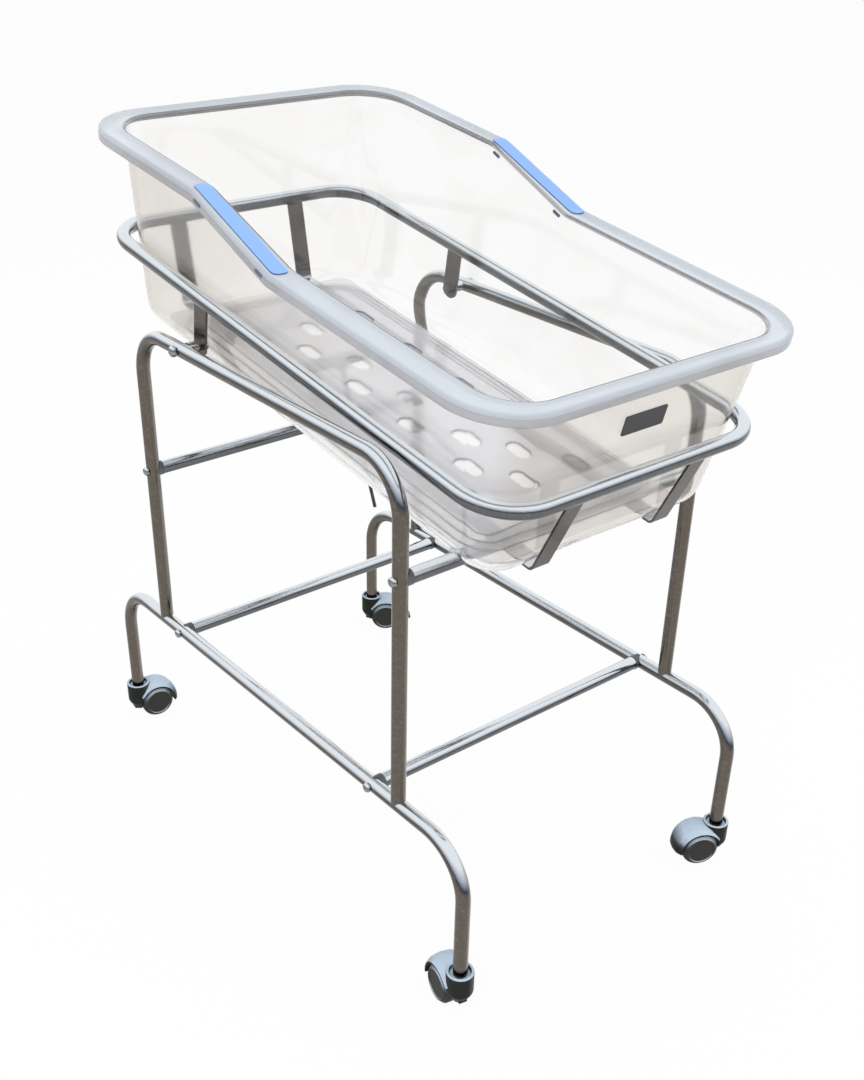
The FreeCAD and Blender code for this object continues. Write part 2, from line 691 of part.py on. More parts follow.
def prop_stay():
    """A plain round rod that hangs from its hinge eye."""
    body = new_body("prop_stay")
    rod = new_sketch("RodSection", "XY", body, ("0", "0", f"-({EYE_DIA} / 2 - 1)"))
    circle(rod, ("0", "0"), "stay_dia")
    feature = pad(body, rod, f"stay_len - {EYE_DIA} / 2 + 1")
    feature.Reversed = True
    eye = new_sketch("EyeRing", "XZ", body)
    circle(eye, ("0", "0"), EYE_DIA)
    pad(body, eye, EYE_WIDTH, symmetric=True)
    bore = new_sketch("EyeBore", "XZ", body)
    circle(bore, ("0", "0"), "stay_pin_dia + 2 * fit_gap")
    pocket(body, bore)
    return at_hinge(body, "-stay_lean")


nodes.append(stay_bracket())
nodes.append(stay_pin())
nodes.append(prop_stay())

# ---------------------------------------------------------------- tub

TUB_LOW = "(strap_drop - strap_thick - rest_gap)"
RISE = "tan(rim_slope)"
SIDES = ("head", "foot", "half_y", "corner")
EDGE_STEPS = 6


def rim_line(lift, head="flange_head + 20", foot="flange_foot + 20"):
    """The four corners of the stepped rim line, moved up by lift, in the basket frame."""
    return [
        (f"-({head})", f"rim_head - ({head}) * {RISE} + ({lift})"),
        ("-step_head", f"rim_head - step_head * {RISE} + ({lift})"),
        ("step_foot", f"rim_foot + step_foot * {RISE} + ({lift})"),
        (f"{foot}", f"rim_foot + ({foot}) * {RISE} + ({lift})"),
    ]


def rim_band(name, top, bottom, width):
    """A slab across the tub between two copies of the rim line."""
    band = new_sketch(name, "XZ")
    upper, lower = rim_line(top), rim_line(bottom)
    blend = "step_blend"
    line_path(
        band,
        upper + lower[::-1],
        [None, blend, blend, None, None, blend, blend, None],
    )
    return extrude(band, width, symmetric=True)


def walls(name, grow, low, top, edge):
    """The tub's tapered body, made larger by grow, with its bottom edge rounded in steps."""
    body = new_body(name)
    turns = [90 * step / EDGE_STEPS for step in range(EDGE_STEPS + 1)]
    levels = [(f"({edge}) * (1 - cos({turn}))", f"({edge}) * (1 - sin({turn}))") for turn in turns]
    sections = []
    for lift, inset in levels + [(f"{top} - ({low})", "0")]:
        share = f"({low} + {lift} + {TUB_LOW}) / (rim_head + {TUB_LOW})"
        sides = [f"tub_low_{side} + (tub_top_{side} - tub_low_{side}) * {share}" for side in SIDES]
        outline = new_sketch("WallOutline", "XY", body, ("0", "0", f"{low} + {lift}"))
        round_box(outline, *sides, f"{grow} - ({inset})")
        sections.append(outline)
    doc.recompute()
    loft = body.newObject("PartDesign::AdditiveLoft", "Walls")
    loft.Profile = sections[0]
    loft.Sections = sections[1:]
    loft.Ruled = True
    return body


def flange_outline(name, grow, bottom, height):
    """A prism of the flange's outline, made larger by grow."""
    outline = new_sketch(name, "XY", offset=("0", "0", bottom))
    round_box(outline, "flange_head", "flange_foot", "flange_half_y", "flange_corner", grow)
    return extrude(outline, height)


def rounded(name, base, radius, picked):
    """Round the picked edges of a Part object."""
    doc.recompute()
    result = doc.addObject("Part::Fillet", name)
    result.Base = base
    chosen = [(i + 1, size(radius), size(radius)) for i, e in enumerate(base.Shape.Edges) if picked(e)]
    result.Edges = chosen
    return result


def rim_height(x):
    """Height of the rim line at x, corners left sharp."""
    spots = [(size(a), size(b)) for a, b in rim_line("0")]
    for (x0, z0), (x1, z1) in zip(spots, spots[1:]):
        if x0 <= x <= x1:
            return z0 + (z1 - z0) * (x - x0) / (x1 - x0)
    return spots[-1][1]


def on_top_outside(edge):
    """True for the flange's top outer edge."""
    middle = edge.valueAt((edge.FirstParameter + edge.LastParameter) / 2)
    ends = [v.Point for v in edge.Vertexes] + [middle]
    return all(abs(p.z - rim_height(p.x)) < size("step_blend") * 0.02 + 0.6 for p in ends)


def oval_spots():
    """Centres of the floor dimples: five rows, every other one shifted by half a pitch."""
    spots = []
    for row in range(-2, 3):
        count = 4 if row % 2 else 5
        for step in range(count):
            spots.append((f"dimple_shift + dimple_pitch * {step - (count - 1) / 2}", f"dimple_row * {row}"))
    return spots


def tub_shell():
    """The clear moulded tub: tapered walls, stepped rim with a skirt, stepped and dimpled floor."""
    outside = walls("TubOutside", "0", f"-{TUB_LOW}", "rim_head", "tub_edge")
    inside = walls("TubInside", "-tub_wall", f"-{TUB_LOW} + tub_wall", "rim_head + 20", "tub_edge - tub_wall")
    span = "flange_half_y * 2 + 40"
    above = rim_band("AboveRim", "rim_head", "0", span)
    trimmed = boolean("Cut", "TubTrimmed", outside, above)
    plate = rim_band("FlangeBand", "0", "-skirt_drop", span)
    low, high = "-skirt_drop", "rim_head + skirt_drop"
    block = boolean("MultiCommon", "FlangeBlock", flange_outline("FlangeOuter", "0", low, high), plate)
    block = rounded("FlangeRounded", block, "flange_edge", on_top_outside)
    hollow_band = rim_band("SkirtBand", "-tub_wall", "-skirt_drop - 20", span)
    hollow = boolean(
        "MultiCommon", "SkirtHollow",
        flange_outline("FlangeInner", "-tub_wall", "-skirt_drop - 20", "rim_head + 40"), hollow_band,
    )
    skirt = boolean("Cut", "Flange", block, hollow)
    whole = boolean("MultiFuse", "TubWhole", skirt, trimmed)
    steps_up, steps_down = [], []
    for step in range(DECK_STEPS):
        for tag, shrink, base, pile in (
            ("Up", "0", f"-{TUB_LOW} + tub_wall / 2", steps_up),
            ("Down", "-tub_wall", f"-{TUB_LOW} - tub_wall", steps_down),
        ):
            outline = new_sketch(f"Deck{tag}{step}", "XY", offset=("0", "0", base))
            inset = f"{shrink} - {step} * deck_step"
            round_box(outline, "deck_head", "deck_foot", "deck_half_y", "deck_corner", inset)
            lift = f"{step + 1} * deck_rise"
            pile.append(extrude(outline, f"{lift} + tub_wall / 2" if tag == "Up" else f"{lift} + tub_wall"))
    hollowed = boolean("Cut", "TubHollowed", whole, inside)
    decked = boolean("MultiFuse", "TubDecked", hollowed, *steps_up)
    relieved = boolean("Cut", "TubRelieved", decked, boolean("MultiFuse", "DeckRelief", *steps_down))
    deck_top = f"-{TUB_LOW} + tub_wall + {DECK_STEPS} * deck_rise"
    backs = oval_prisms("DimpleBacks", "dimple_wall", f"{deck_top} - dimple_deep - dimple_wall", "dimple_deep")
    embossed = boolean("MultiFuse", "TubEmbossed", relieved, backs)
    dimples = oval_prisms("Dimples", "0", f"{deck_top} - dimple_deep", "tub_edge")
    tub = boolean("Cut", "tub_shell", embossed, dimples)
    tub.Label = "tub_shell"
    return in_basket(tub)


def oval_prisms(name, grow, bottom, height):
    """A prism for every floor dimple, made larger all round by grow."""
    ovals = new_sketch(name, "XY", offset=("0", "0", bottom))
    for x, y in oval_spots():
        oval(ovals, x, y, f"dimple_width / 2 + {grow}")
    return extrude(ovals, height)


def oval(drawing, x, y, half):
    """A slot-shaped outline with round ends of radius half."""
    run = "(dimple_len - dimple_width) / 2"
    arcs = []
    for sign, start in (("-", 90), ("", -90)):
        middle = (f"{x} {sign or '+'} {run}", y)
        centre = FreeCAD.Vector(size(middle[0]), size(middle[1]), 0)
        ring = Part.Circle(centre, FreeCAD.Vector(0, 0, 1), size(half))
        arc = Part.ArcOfCircle(ring, math.radians(start), math.radians(start + 180))
        item = drawing.addGeometry(arc)
        arcs.append(item)
        fix_point(drawing, item, 3, middle)
    tall, deep = size(y) + size(half), size(y) - size(half)
    left, right = size(f"{x} - {run}"), size(f"{x} + {run}")
    top = drawing.addGeometry(Part.LineSegment(FreeCAD.Vector(right, tall, 0), FreeCAD.Vector(left, tall, 0)))
    base = drawing.addGeometry(Part.LineSegment(FreeCAD.Vector(left, deep, 0), FreeCAD.Vector(right, deep, 0)))
    round_trip = [top, arcs[0], base, arcs[1], top]
    for before, after in zip(round_trip, round_trip[1:]):
        drawing.addConstraint(Sketcher.Constraint("Tangent", before, 2, after, 1))
    number = drawing.addConstraint(Sketcher.Constraint("Radius", arcs[0], size(half)))
    bind(drawing, f"Constraints[{number}]", half)


def grip(side):
    """A flat grip on the sloping part of the rim, inside the rounding of its edges."""
    sign = MIRROR[side]
    name = f"Grip{side}"
    patch = new_sketch(name + "Patch", "XY")
    low, high = "-(step_head + grip_over)", "step_foot + grip_over"
    inner = f"{sign} * (tub_top_half_y + grip_margin)"
    outer = f"{sign} * (flange_half_y - flange_edge - grip_margin)"
    line_path(patch, [(low, inner), (high, inner), (high, outer), (low, outer)], ["grip_round"] * 4)
    plate = rim_band(name + "Band", "grip_thick", "fit_gap", "flange_half_y * 2 + 40")
    result = boolean("MultiCommon", f"grip_{side}", plate, extrude(patch, "rim_head * 2"))
    result.Label = f"grip_{side}"
    return in_basket(result)


def clip():
    """The end of a grip's fastening: a low pad with rounded corners, its back at y = 0."""
    body = new_body("clip_pattern")
    outline = new_sketch("ClipOutline", "XZ", body)
    half, tall = "clip_len / 2", "clip_high / 2"
    line_path(outline, [(f"-{half}", f"-{tall}"), (half, f"-{tall}"), (half, tall), (f"-{half}", tall)],
              ["clip_high * 0.4"] * 4)
    pad(body, outline, "clip_thick")
    return body


def clip_spots(side):
    """Places of the clips of one grip: two outside the skirt and two inside the wall."""
    sign = MIRROR[side]
    basket = spot(0, 0, size("loop_z"), size("tilt"), (0, 1, 0))
    lean = math.degrees(math.atan(size(f"(tub_top_half_y - tub_low_half_y) / (rim_head + {TUB_LOW})")))
    ends = [-size("step_head - clip_inset"), size("step_foot - clip_inset")]
    slope = math.degrees(math.atan2(rim_height(ends[0]) - rim_height(ends[1]), ends[1] - ends[0]))
    spots = []
    for s in ends:
        n = rim_height(s) - size("clip_drop")
        skirt = size("flange_half_y + fit_gap")
        wall = size("tub_low_half_y - tub_wall - fit_gap") + (n + size(TUB_LOW)) * math.tan(math.radians(lean))
        outward = spot(0, 0, 0, 0 if sign < 0 else 180)
        for y, half_turn, tip in ((skirt, 0, 0), (wall, 180, -lean)):
            facing = outward.multiply(spot(0, 0, 0, half_turn))
            leaning = spot(0, 0, 0, tip, (1, 0, 0))
            run = slope if (sign < 0) == (half_turn == 0) else -slope
            sloping = spot(0, 0, 0, run, (0, 1, 0))
            upright = basket.multiply(spot(s, sign * y, n)).multiply(facing)
            spots.append(upright.multiply(leaning).multiply(sloping))
    return spots


def label_plate():
    """A blank plate on the outside of the foot wall."""
    body = new_body("label_plate")
    plate = new_sketch("LabelOutline", "YZ", body)
    half, tall = "label_len / 2", "label_high / 2"
    line_path(
        plate,
        [(f"-{half}", f"-{tall}"), (half, f"-{tall}"), (half, tall), (f"-{half}", tall)],
        ["label_thick * 2"] * 4,
    )
    pad(body, plate, "label_thick")
    lean = f"atan((tub_top_foot - tub_low_foot) / (rim_head + {TUB_LOW}))"
    wall_s = f"(tub_low_foot + (label_up + {TUB_LOW}) * tan({lean}) + fit_gap)"
    return place(
        body,
        x=f"{wall_s} * cos(tilt) + label_up * sin(tilt)",
        z=f"loop_z - {wall_s} * sin(tilt) + label_up * cos(tilt)",
        turn=f"tilt * 1 deg + {lean}",
        axis=(0, 1, 0),
    )


nodes.append(tub_shell())
clip_pattern = clip()
for side in MIRROR:
    nodes.append(grip(side))
    nodes.append(group(f"grip_clips_{side}", clip_pattern, clip_spots(side)))
nodes.append(label_plate())

# ---------------------------------------------------------------- casters

HOOD_IN = "(wheel_dia / 2 + wheel_gap)"
HOOD_OUT = f"({HOOD_IN} + hood_side)"
AXLE_Z = "wheel_dia / 2"
STEM_X = "(upright_x + foot_reach)"
STEM_TOP = "tube_end_z - 2 * weld_gap"
PLUG_HALF = "tube_dia / 2 - tube_wall - fit_gap"
AXLE_HALF = "(wheel_half - 5)"
LEVER_X = f"(trail + {HOOD_OUT} + lever_pin_dia / 2)"
LEVER_Z = f"({AXLE_Z} + lever_pin_dia)"


def at_caster(thing, corner, behind="0", height="0"):
    """Put a piece of a caster at its corner of the base, turned the way that caster trails."""
    side, end = corner.split("_")
    way = f"turn_{corner}"
    sign = "-" if end == "head" else ""
    return place(
        thing,
        x=f"{sign}{STEM_X} + ({behind}) * cos({way})",
        y=f"{MIRROR[side]} * side_y + ({behind}) * sin({way})",
        z=height,
        turn=way,
    )


def caster_stem(corner):
    """The swivel stem with the plug that is pressed into the foot tube."""
    body = new_body(f"caster_{corner}_stem")
    profile = new_sketch("StemProfile", "XZ", body)
    line_path(
        profile,
        [("0", "stem_low"), ("stem_dia / 2", "stem_low"), ("stem_dia / 2", STEM_TOP), (PLUG_HALF, STEM_TOP),
         (PLUG_HALF, "tube_end_z + stem_plug"), ("0", "tube_end_z + stem_plug")],
        [None, "1", None, None, "3", None],
    )
    revolve(body, profile)
    return at_caster(body, corner)


def hood_arch(body):
    """The crowned arch over both wheels, as part of a turn about the axle."""
    section = new_sketch("ArchSection", "YZ", body, ("0", AXLE_Z, "trail"))
    flank, crown = f"{HOOD_OUT} + hood_crown * 0.75", f"{HOOD_OUT} + hood_crown"
    line_path(
        section,
        [("-wheel_half", HOOD_IN), ("wheel_half", HOOD_IN), ("wheel_half", HOOD_OUT),
         ("wheel_half * 0.62", flank), ("0", crown), ("-wheel_half * 0.62", flank), ("-wheel_half", HOOD_OUT)],
        [None, None, None, "wheel_half * 0.6", "wheel_half * 2", "wheel_half * 0.6", None],
    )
    arch = revolve(body, section, "H_Axis", "Arch")
    bind(arch, "Angle", "2 * arch_half")
    arch.Midplane = True
    front = new_sketch("ArchFront", "XZ", body)
    reach = f"({HOOD_OUT} + hood_crown) * 1.5"
    line_path(
        front,
        [("trail", AXLE_Z), (f"trail - {reach} * sin(arch_front)", f"{AXLE_Z} + {reach} * cos(arch_front)"),
         (f"trail - {reach} * 1.2", f"{AXLE_Z} - {reach}"), ("trail", f"{AXLE_Z} - {reach}")],
    )
    pocket(body, front, name="ArchFront")


def hood_boss(body):
    """The front boss round the stem, dished at the top and drawn in at the bottom."""
    profile = new_sketch("BossProfile", "XZ", body)
    out, dish = "boss_dia / 2", "dish_dia / 2"
    line_path(
        profile,
        [("0", "stem_low - 8"), (f"{out} * 0.45", "stem_low - 8"), (out, f"{AXLE_Z} + 6"), (out, "boss_top"),
         (dish, "boss_top"), (f"{dish} - 1", "boss_top - dish_deep"), ("0", "boss_top - dish_deep")],
        [None, "4", "12", "1.5", "0.8", "2", None],
    )
    revolve(body, profile, name="Boss")


def caster_hood(corner, braked):
    """The cast hood: crowned arch, middle web, dished boss, wheel wells and bores."""
    body = new_body(f"caster_{corner}_hood")
    hood_arch(body)
    hood_boss(body)
    web = new_sketch("WebOutline", "XZ", body)
    line_path(
        web,
        [("-boss_dia * 0.3", f"{AXLE_Z} - 8"), ("trail", f"{AXLE_Z} - 12"), (f"trail + {HOOD_IN} - 4", AXLE_Z),
         (f"trail + {HOOD_IN} - 4", f"{AXLE_Z} + 13"), ("trail", f"{AXLE_Z} + {HOOD_IN} + 1"),
         ("-boss_dia * 0.3", f"{AXLE_Z} + {HOOD_IN} + 1")],
        [None, "10", "6", "9", None, None],
    )
    pad(body, web, "2 * web_half", symmetric=True, name="Web")
    dish = new_sketch("Dish", "XY", body, ("0", "0", "boss_top - dish_deep"))
    circle(dish, ("0", "0"), "dish_dia - 2")
    recess = pocket(body, dish, symmetric=False, name="Dish")
    recess.Reversed = True
    for sign in ("", "-"):
        well = new_sketch("WheelWell", "XZ", body, ("0", "0", f"{sign}web_half"))
        circle(well, ("trail", AXLE_Z), f"2 * {HOOD_IN}")
        cut = pocket(body, well, "boss_dia + wheel_half", symmetric=False, name="WheelWell")
        cut.Reversed = sign == ""
    if braked:
        window = new_sketch("LeverWindow", "XZ", body)
        low, high = f"{AXLE_Z} - 12", f"{LEVER_Z} + lever_pin_dia * 2.2"
        inner, outer = f"trail + {HOOD_IN} - 1.5", f"trail + {HOOD_OUT} + hood_crown * 2"
        line_path(window, [(inner, low), (outer, low), (outer, high), (inner, high)])
        pocket(body, window, "lever_width + 4 * rest_gap", name="LeverWindow")
        lug = new_sketch("LeverLug", "XZ", body)
        circle(lug, (LEVER_X, LEVER_Z), "lever_pin_dia * 2.4")
        pad(body, lug, "2 * web_half", symmetric=True, name="LeverLug")
        neck = new_sketch("LeverNeck", "XZ", body)
        root = f"trail + {HOOD_IN} - 6"
        under, over = f"{LEVER_Z} - lever_pin_dia * 1.1", f"{LEVER_Z} + lever_pin_dia * 1.1"
        line_path(neck, [(root, under), (LEVER_X, under), (LEVER_X, over), (root, over)])
        pad(body, neck, "2 * web_half", symmetric=True, name="LeverNeck")
    bores = new_sketch("SideBores", "XZ", body)
    circle(bores, ("trail", AXLE_Z), "axle_dia + 2 * fit_gap")
    if braked:
        circle(bores, (LEVER_X, LEVER_Z), "lever_pin_dia + 2 * fit_gap")
    pocket(body, bores, name="SideBores")
    stem_bore = new_sketch("StemBore", "XY", body, ("0", "0", "stem_low - rest_gap"))
    circle(stem_bore, ("0", "0"), "stem_dia + 2 * fit_gap")
    bore = pocket(body, stem_bore, symmetric=False, name="StemBore")
    bore.Reversed = True
    return at_caster(body, corner)


def caster_axle(corner):
    """The plain axle pin."""
    body = new_body(f"caster_{corner}_axle")
    section = new_sketch("AxleSection", "XZ", body)
    circle(section, ("0", "0"), "axle_dia")
    pad(body, section, f"2 * {AXLE_HALF}", symmetric=True)
    return at_caster(body, corner, "trail", AXLE_Z)


def caster_wheel(corner, hand):
    """One of the twin wheels: rounded tread, raised rim lip and a closed side disc."""
    body = new_body(f"caster_{corner}_wheel_{hand}")
    profile = new_sketch("WheelProfile", "XY", body)
    sign = "-" if hand == "right" else ""
    rim, bore = "wheel_dia / 2", "axle_dia / 2 + fit_gap"
    inner, outer, disc = "(web_half + 2 * rest_gap)", "wheel_half", "(wheel_half - wheel_recess)"
    stop = f"({AXLE_HALF} + rest_gap)"
    lip = "wheel_dia / 2 - wheel_shoulder"
    line_path(
        profile,
        [(x, sign + y) for x, y in (
            ("0", stop), (bore, stop), (bore, inner), (rim, inner),
            (rim, f"({outer} - wheel_shoulder)"), (lip, outer),
            (f"{lip} - wheel_lip", outer), (f"{lip} - wheel_lip - wheel_recess", disc), ("0", disc),
        )],
        [None, None, None, "2", "wheel_shoulder * 0.9", "1", None, None, None],
    )
    revolve(body, profile)
    return at_caster(body, corner, "trail", AXLE_Z)


def brake_lever(corner):
    """The foot lever: two cheeks on the lug of the hood and a tongue that stands out behind."""
    body = new_body(f"caster_{corner}_brake_lever")
    outline = new_sketch("LeverOutline", "XZ", body)
    eye = "lever_pin_dia * 1.35"
    line_path(
        outline,
        [(f"-{eye}", f"-{eye}"), (f"{eye} + 1", f"-{eye}"), ("lever_reach - lever_tip", "-lever_drop"),
         ("lever_reach", "-lever_drop + lever_tip / 2"), (f"{eye} + 3", eye), (f"-{eye}", eye)],
        [f"{eye} * 0.95", "4", "1.2", "1.2", "5", f"{eye} * 0.95"],
    )
    pad(body, outline, "lever_width", symmetric=True)
    slot = new_sketch("LeverSlot", "XZ", body)
    clear = "lever_pin_dia * 1.2 + rest_gap"
    line_path(
        slot,
        [(f"-{eye} * 2", f"-{eye} * 2"), (clear, f"-{eye} * 2"),
         (clear, f"{eye} * 2"), (f"-{eye} * 2", f"{eye} * 2")],
    )
    pocket(body, slot, "2 * (web_half + rest_gap)", name="LeverSlot")
    bore = new_sketch("LeverBore", "XZ", body)
    circle(bore, ("0", "0"), "lever_pin_dia + 2 * fit_gap")
    pocket(body, bore)
    return at_caster(body, corner, LEVER_X, LEVER_Z)


def lever_pin(corner):
    """The hinge pin of the brake lever."""
    body = new_body(f"caster_{corner}_lever_pin")
    section = new_sketch("PinSection", "XZ", body)
    circle(section, ("0", "0"), "lever_pin_dia")
    pad(body, section, "lever_width - 2 * rest_gap", symmetric=True)
    return at_caster(body, corner, LEVER_X, LEVER_Z)


CASTERS = {"near_foot": True, "far_foot": False, "near_head": False, "far_head": True}
for corner, braked in CASTERS.items():
    nodes.append(caster_stem(corner))
    nodes.append(caster_hood(corner, braked))
    nodes.append(caster_axle(corner))
    nodes.append(caster_wheel(corner, "left"))
    nodes.append(caster_wheel(corner, "right"))
    if braked:
        nodes.append(brake_lever(corner))
        nodes.append(lever_pin(corner))

doc.recompute()
failed = 0
for thing in doc.Objects:
    if "Invalid" in thing.State or "Error" in thing.State:
        print("FAILED", thing.Name, thing.State)
        failed += 1
for node in nodes:
    shape = node.Shape
    if shape.isNull() or not shape.isValid():
        print("BAD", node.Label)
        failed += 1
        continue
    box = shape.BoundBox
    print(node.Label, len(shape.Solids), round(shape.Volume / 1000, 2),
          [round(v, 1) for v in (box.XMin, box.XMax, box.YMin, box.YMax, box.ZMin, box.ZMax)])
if failed:
    raise RuntimeError("some sub-parts failed")
for node in nodes:
    node.Shape.exportStep(f"parts/{node.Label}.step")
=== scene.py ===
"""Looks of the hospital bassinet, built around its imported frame."""

from dataclasses import dataclass
from enum import Enum
import logging
import math

import bmesh
import bpy
from mathutils import Matrix, Vector
from mathutils.geometry import delaunay_2d_cdt

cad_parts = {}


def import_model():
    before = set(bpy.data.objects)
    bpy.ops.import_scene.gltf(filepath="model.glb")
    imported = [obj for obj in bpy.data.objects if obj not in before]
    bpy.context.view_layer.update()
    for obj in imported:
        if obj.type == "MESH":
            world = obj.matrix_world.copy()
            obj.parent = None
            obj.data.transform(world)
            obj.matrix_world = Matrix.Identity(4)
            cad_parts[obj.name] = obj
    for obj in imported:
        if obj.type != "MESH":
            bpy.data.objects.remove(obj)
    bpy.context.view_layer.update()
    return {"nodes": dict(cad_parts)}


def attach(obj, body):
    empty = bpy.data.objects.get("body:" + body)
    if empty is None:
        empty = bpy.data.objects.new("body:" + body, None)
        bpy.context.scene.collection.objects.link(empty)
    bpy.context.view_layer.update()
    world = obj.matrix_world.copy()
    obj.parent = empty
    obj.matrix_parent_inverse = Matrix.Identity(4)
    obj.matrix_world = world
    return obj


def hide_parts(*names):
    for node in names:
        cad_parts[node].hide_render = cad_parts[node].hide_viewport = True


LOG = logging.getLogger("bassinet")
SIDES = ("near", "far")
ENDS = ("head", "foot")

Colour = tuple[float, float, float]
Point = tuple[float, float, float]
Ring = list[Point]
Face = tuple[int, ...]


# ---------------------------------------------------------------- shader maths


@dataclass(frozen=True)
class Wire:
    """An output socket that can stand in a Python expression on numbers."""

    tree: bpy.types.NodeTree
    end: bpy.types.NodeSocket | None

    def _math(self, operation: str, first: "Wire | float", second: "Wire | float") -> "Wire":
        """Add a Math node.

        Args:
            operation: The Math node's operation.
            first: Its first value.
            second: Its second value.

        Returns:
            The node's value.
        """
        made = self.tree.nodes.new("ShaderNodeMath")
        made.operation = operation
        for place, value in enumerate((first, second)):
            if isinstance(value, Wire):
                self.tree.links.new(value.end, made.inputs[place])
            else:
                made.inputs[place].default_value = value
        return Wire(self.tree, made.outputs[0])

    def __add__(self, other: "Wire | float") -> "Wire":
        """Sum."""
        return self._math("ADD", self, other)

    __radd__ = __add__

    def __sub__(self, other: "Wire | float") -> "Wire":
        """Difference."""
        return self._math("SUBTRACT", self, other)

    def __rsub__(self, other: "Wire | float") -> "Wire":
        """Difference from a number."""
        return self._math("SUBTRACT", other, self)

    def __mul__(self, other: "Wire | float") -> "Wire":
        """Product."""
        return self._math("MULTIPLY", self, other)

    __rmul__ = __mul__

    def under(self, other: "Wire | float") -> "Wire":
        """One where this is less than the other, else nought."""
        return self._math("LESS_THAN", self, other)

    def most(self, other: "Wire | float") -> "Wire":
        """The larger of the two."""
        return self._math("MAXIMUM", self, other)

    def least(self, other: "Wire | float") -> "Wire":
        """The smaller of the two."""
        return self._math("MINIMUM", self, other)


class Tree:
    """A node tree of a material or world."""

    def __init__(self, owner: bpy.types.ID) -> None:
        """Empty the owner's tree.

        Args:
            owner: The material or world.
        """
        owner.use_nodes = True
        self.tree = owner.node_tree
        self.tree.nodes.clear()

    def node(self, kind: str, settings: dict | None = None, sockets: dict | None = None,
             output: int | str = 0) -> Wire:
        """Add a node.

        Args:
            kind: The node's type.
            settings: Its properties, or a ramp's stops under the key stops, set first.
            sockets: Values or wires of its inputs.
            output: Name or number of the output to use.

        Returns:
            That output, or an empty wire from a node that has none.
        """
        made = self.tree.nodes.new(kind)
        for name, value in (settings or {}).items():
            if name == "stops":
                ramp = made.color_ramp.elements
                while len(ramp) < len(value):
                    ramp.new(1.0)
                for element, (position, shade) in zip(ramp, value):
                    element.position = position
                    element.color = (*shade, 1.0)
            else:
                setattr(made, name, value)
        for name, value in (sockets or {}).items():
            if isinstance(value, Wire):
                self.tree.links.new(value.end, made.inputs[name])
            else:
                made.inputs[name].default_value = value
        return Wire(self.tree, made.outputs[output] if made.outputs else None)

    def mix(self, factor: Wire | float, low: Wire | Colour, high: Wire | Colour) -> Wire:
        """Mix two colours.

        Args:
            factor: Share of the second colour.
            low: The first colour.
            high: The second colour.

        Returns:
            The mixed colour.
        """
        first, second = (shade if isinstance(shade, Wire) else (*shade, 1.0) for shade in (low, high))
        factor_in, first_in, second_in, colour_out = 0, 6, 7, 2
        return self.node("ShaderNodeMix", {"data_type": "RGBA"},
                         {factor_in: factor, first_in: first, second_in: second}, colour_out)

    def mask(self, value: Wire, low: float, high: float) -> Wire:
        """Nought up to one level of a value, one from another, and a straight rise between.

        Args:
            value: The value.
            low: The level where the rise starts.
            high: The level where it ends.

        Returns:
            The mask.
        """
        stops = [(low, (0.0, 0.0, 0.0)), (high, (1.0, 1.0, 1.0))]
        ramp = self.node("ShaderNodeValToRGB", {"stops": stops}, {"Fac": value})
        return self.node("ShaderNodeRGBToBW", None, {"Color": ramp})

    def here(self) -> Wire:
        """The place in the object's own space, in metres."""
        return self.node("ShaderNodeTexCoord", output="Object")

    def place(self, axis: str) -> Wire:
        """The place along an axis in the object's own space, in metres."""
        return self.node("ShaderNodeSeparateXYZ", None, {"Vector": self.here()}, axis)

    def facing(self, axis: str) -> Wire:
        """The surface normal's part along an axis of the world."""
        normal = self.node("ShaderNodeNewGeometry", output="Normal")
        return self.node("ShaderNodeSeparateXYZ", None, {"Vector": normal}, axis)

    def noise(self, scale: float, detail: float = 2.0, stretch: Point = (1.0, 1.0, 1.0)) -> Wire:
        """Noise in the object's own space.

        Args:
            scale: Grains in a metre.
            detail: Octaves.
            stretch: Scale along each axis.

        Returns:
            The noise, about 0.5.
        """
        spread = self.node("ShaderNodeMapping", None, {"Vector": self.here(), "Scale": stretch})
        return self.node("ShaderNodeTexNoise", None, {"Vector": spread, "Scale": scale, "Detail": detail})

    def bump(self, height: Wire, strength: float, distance: float) -> Wire:
        """A Bump node's normal.

        Args:
            height: The height map.
            strength: How much of it shows.
            distance: Its depth in metres.

        Returns:
            The bumped normal.
        """
        sockets = {"Height": height, "Strength": strength, "Distance": distance}
        return self.node("ShaderNodeBump", None, sockets)

    def close(self, sockets: dict) -> None:
        """Set one Principled surface and end the tree.

        Args:
            sockets: The surface's values or wires.
        """
        surface = self.node("ShaderNodeBsdfPrincipled", None, sockets)
        self.node("ShaderNodeOutputMaterial", None, {"Surface": surface})


# ---------------------------------------------------------------- kinds of finish


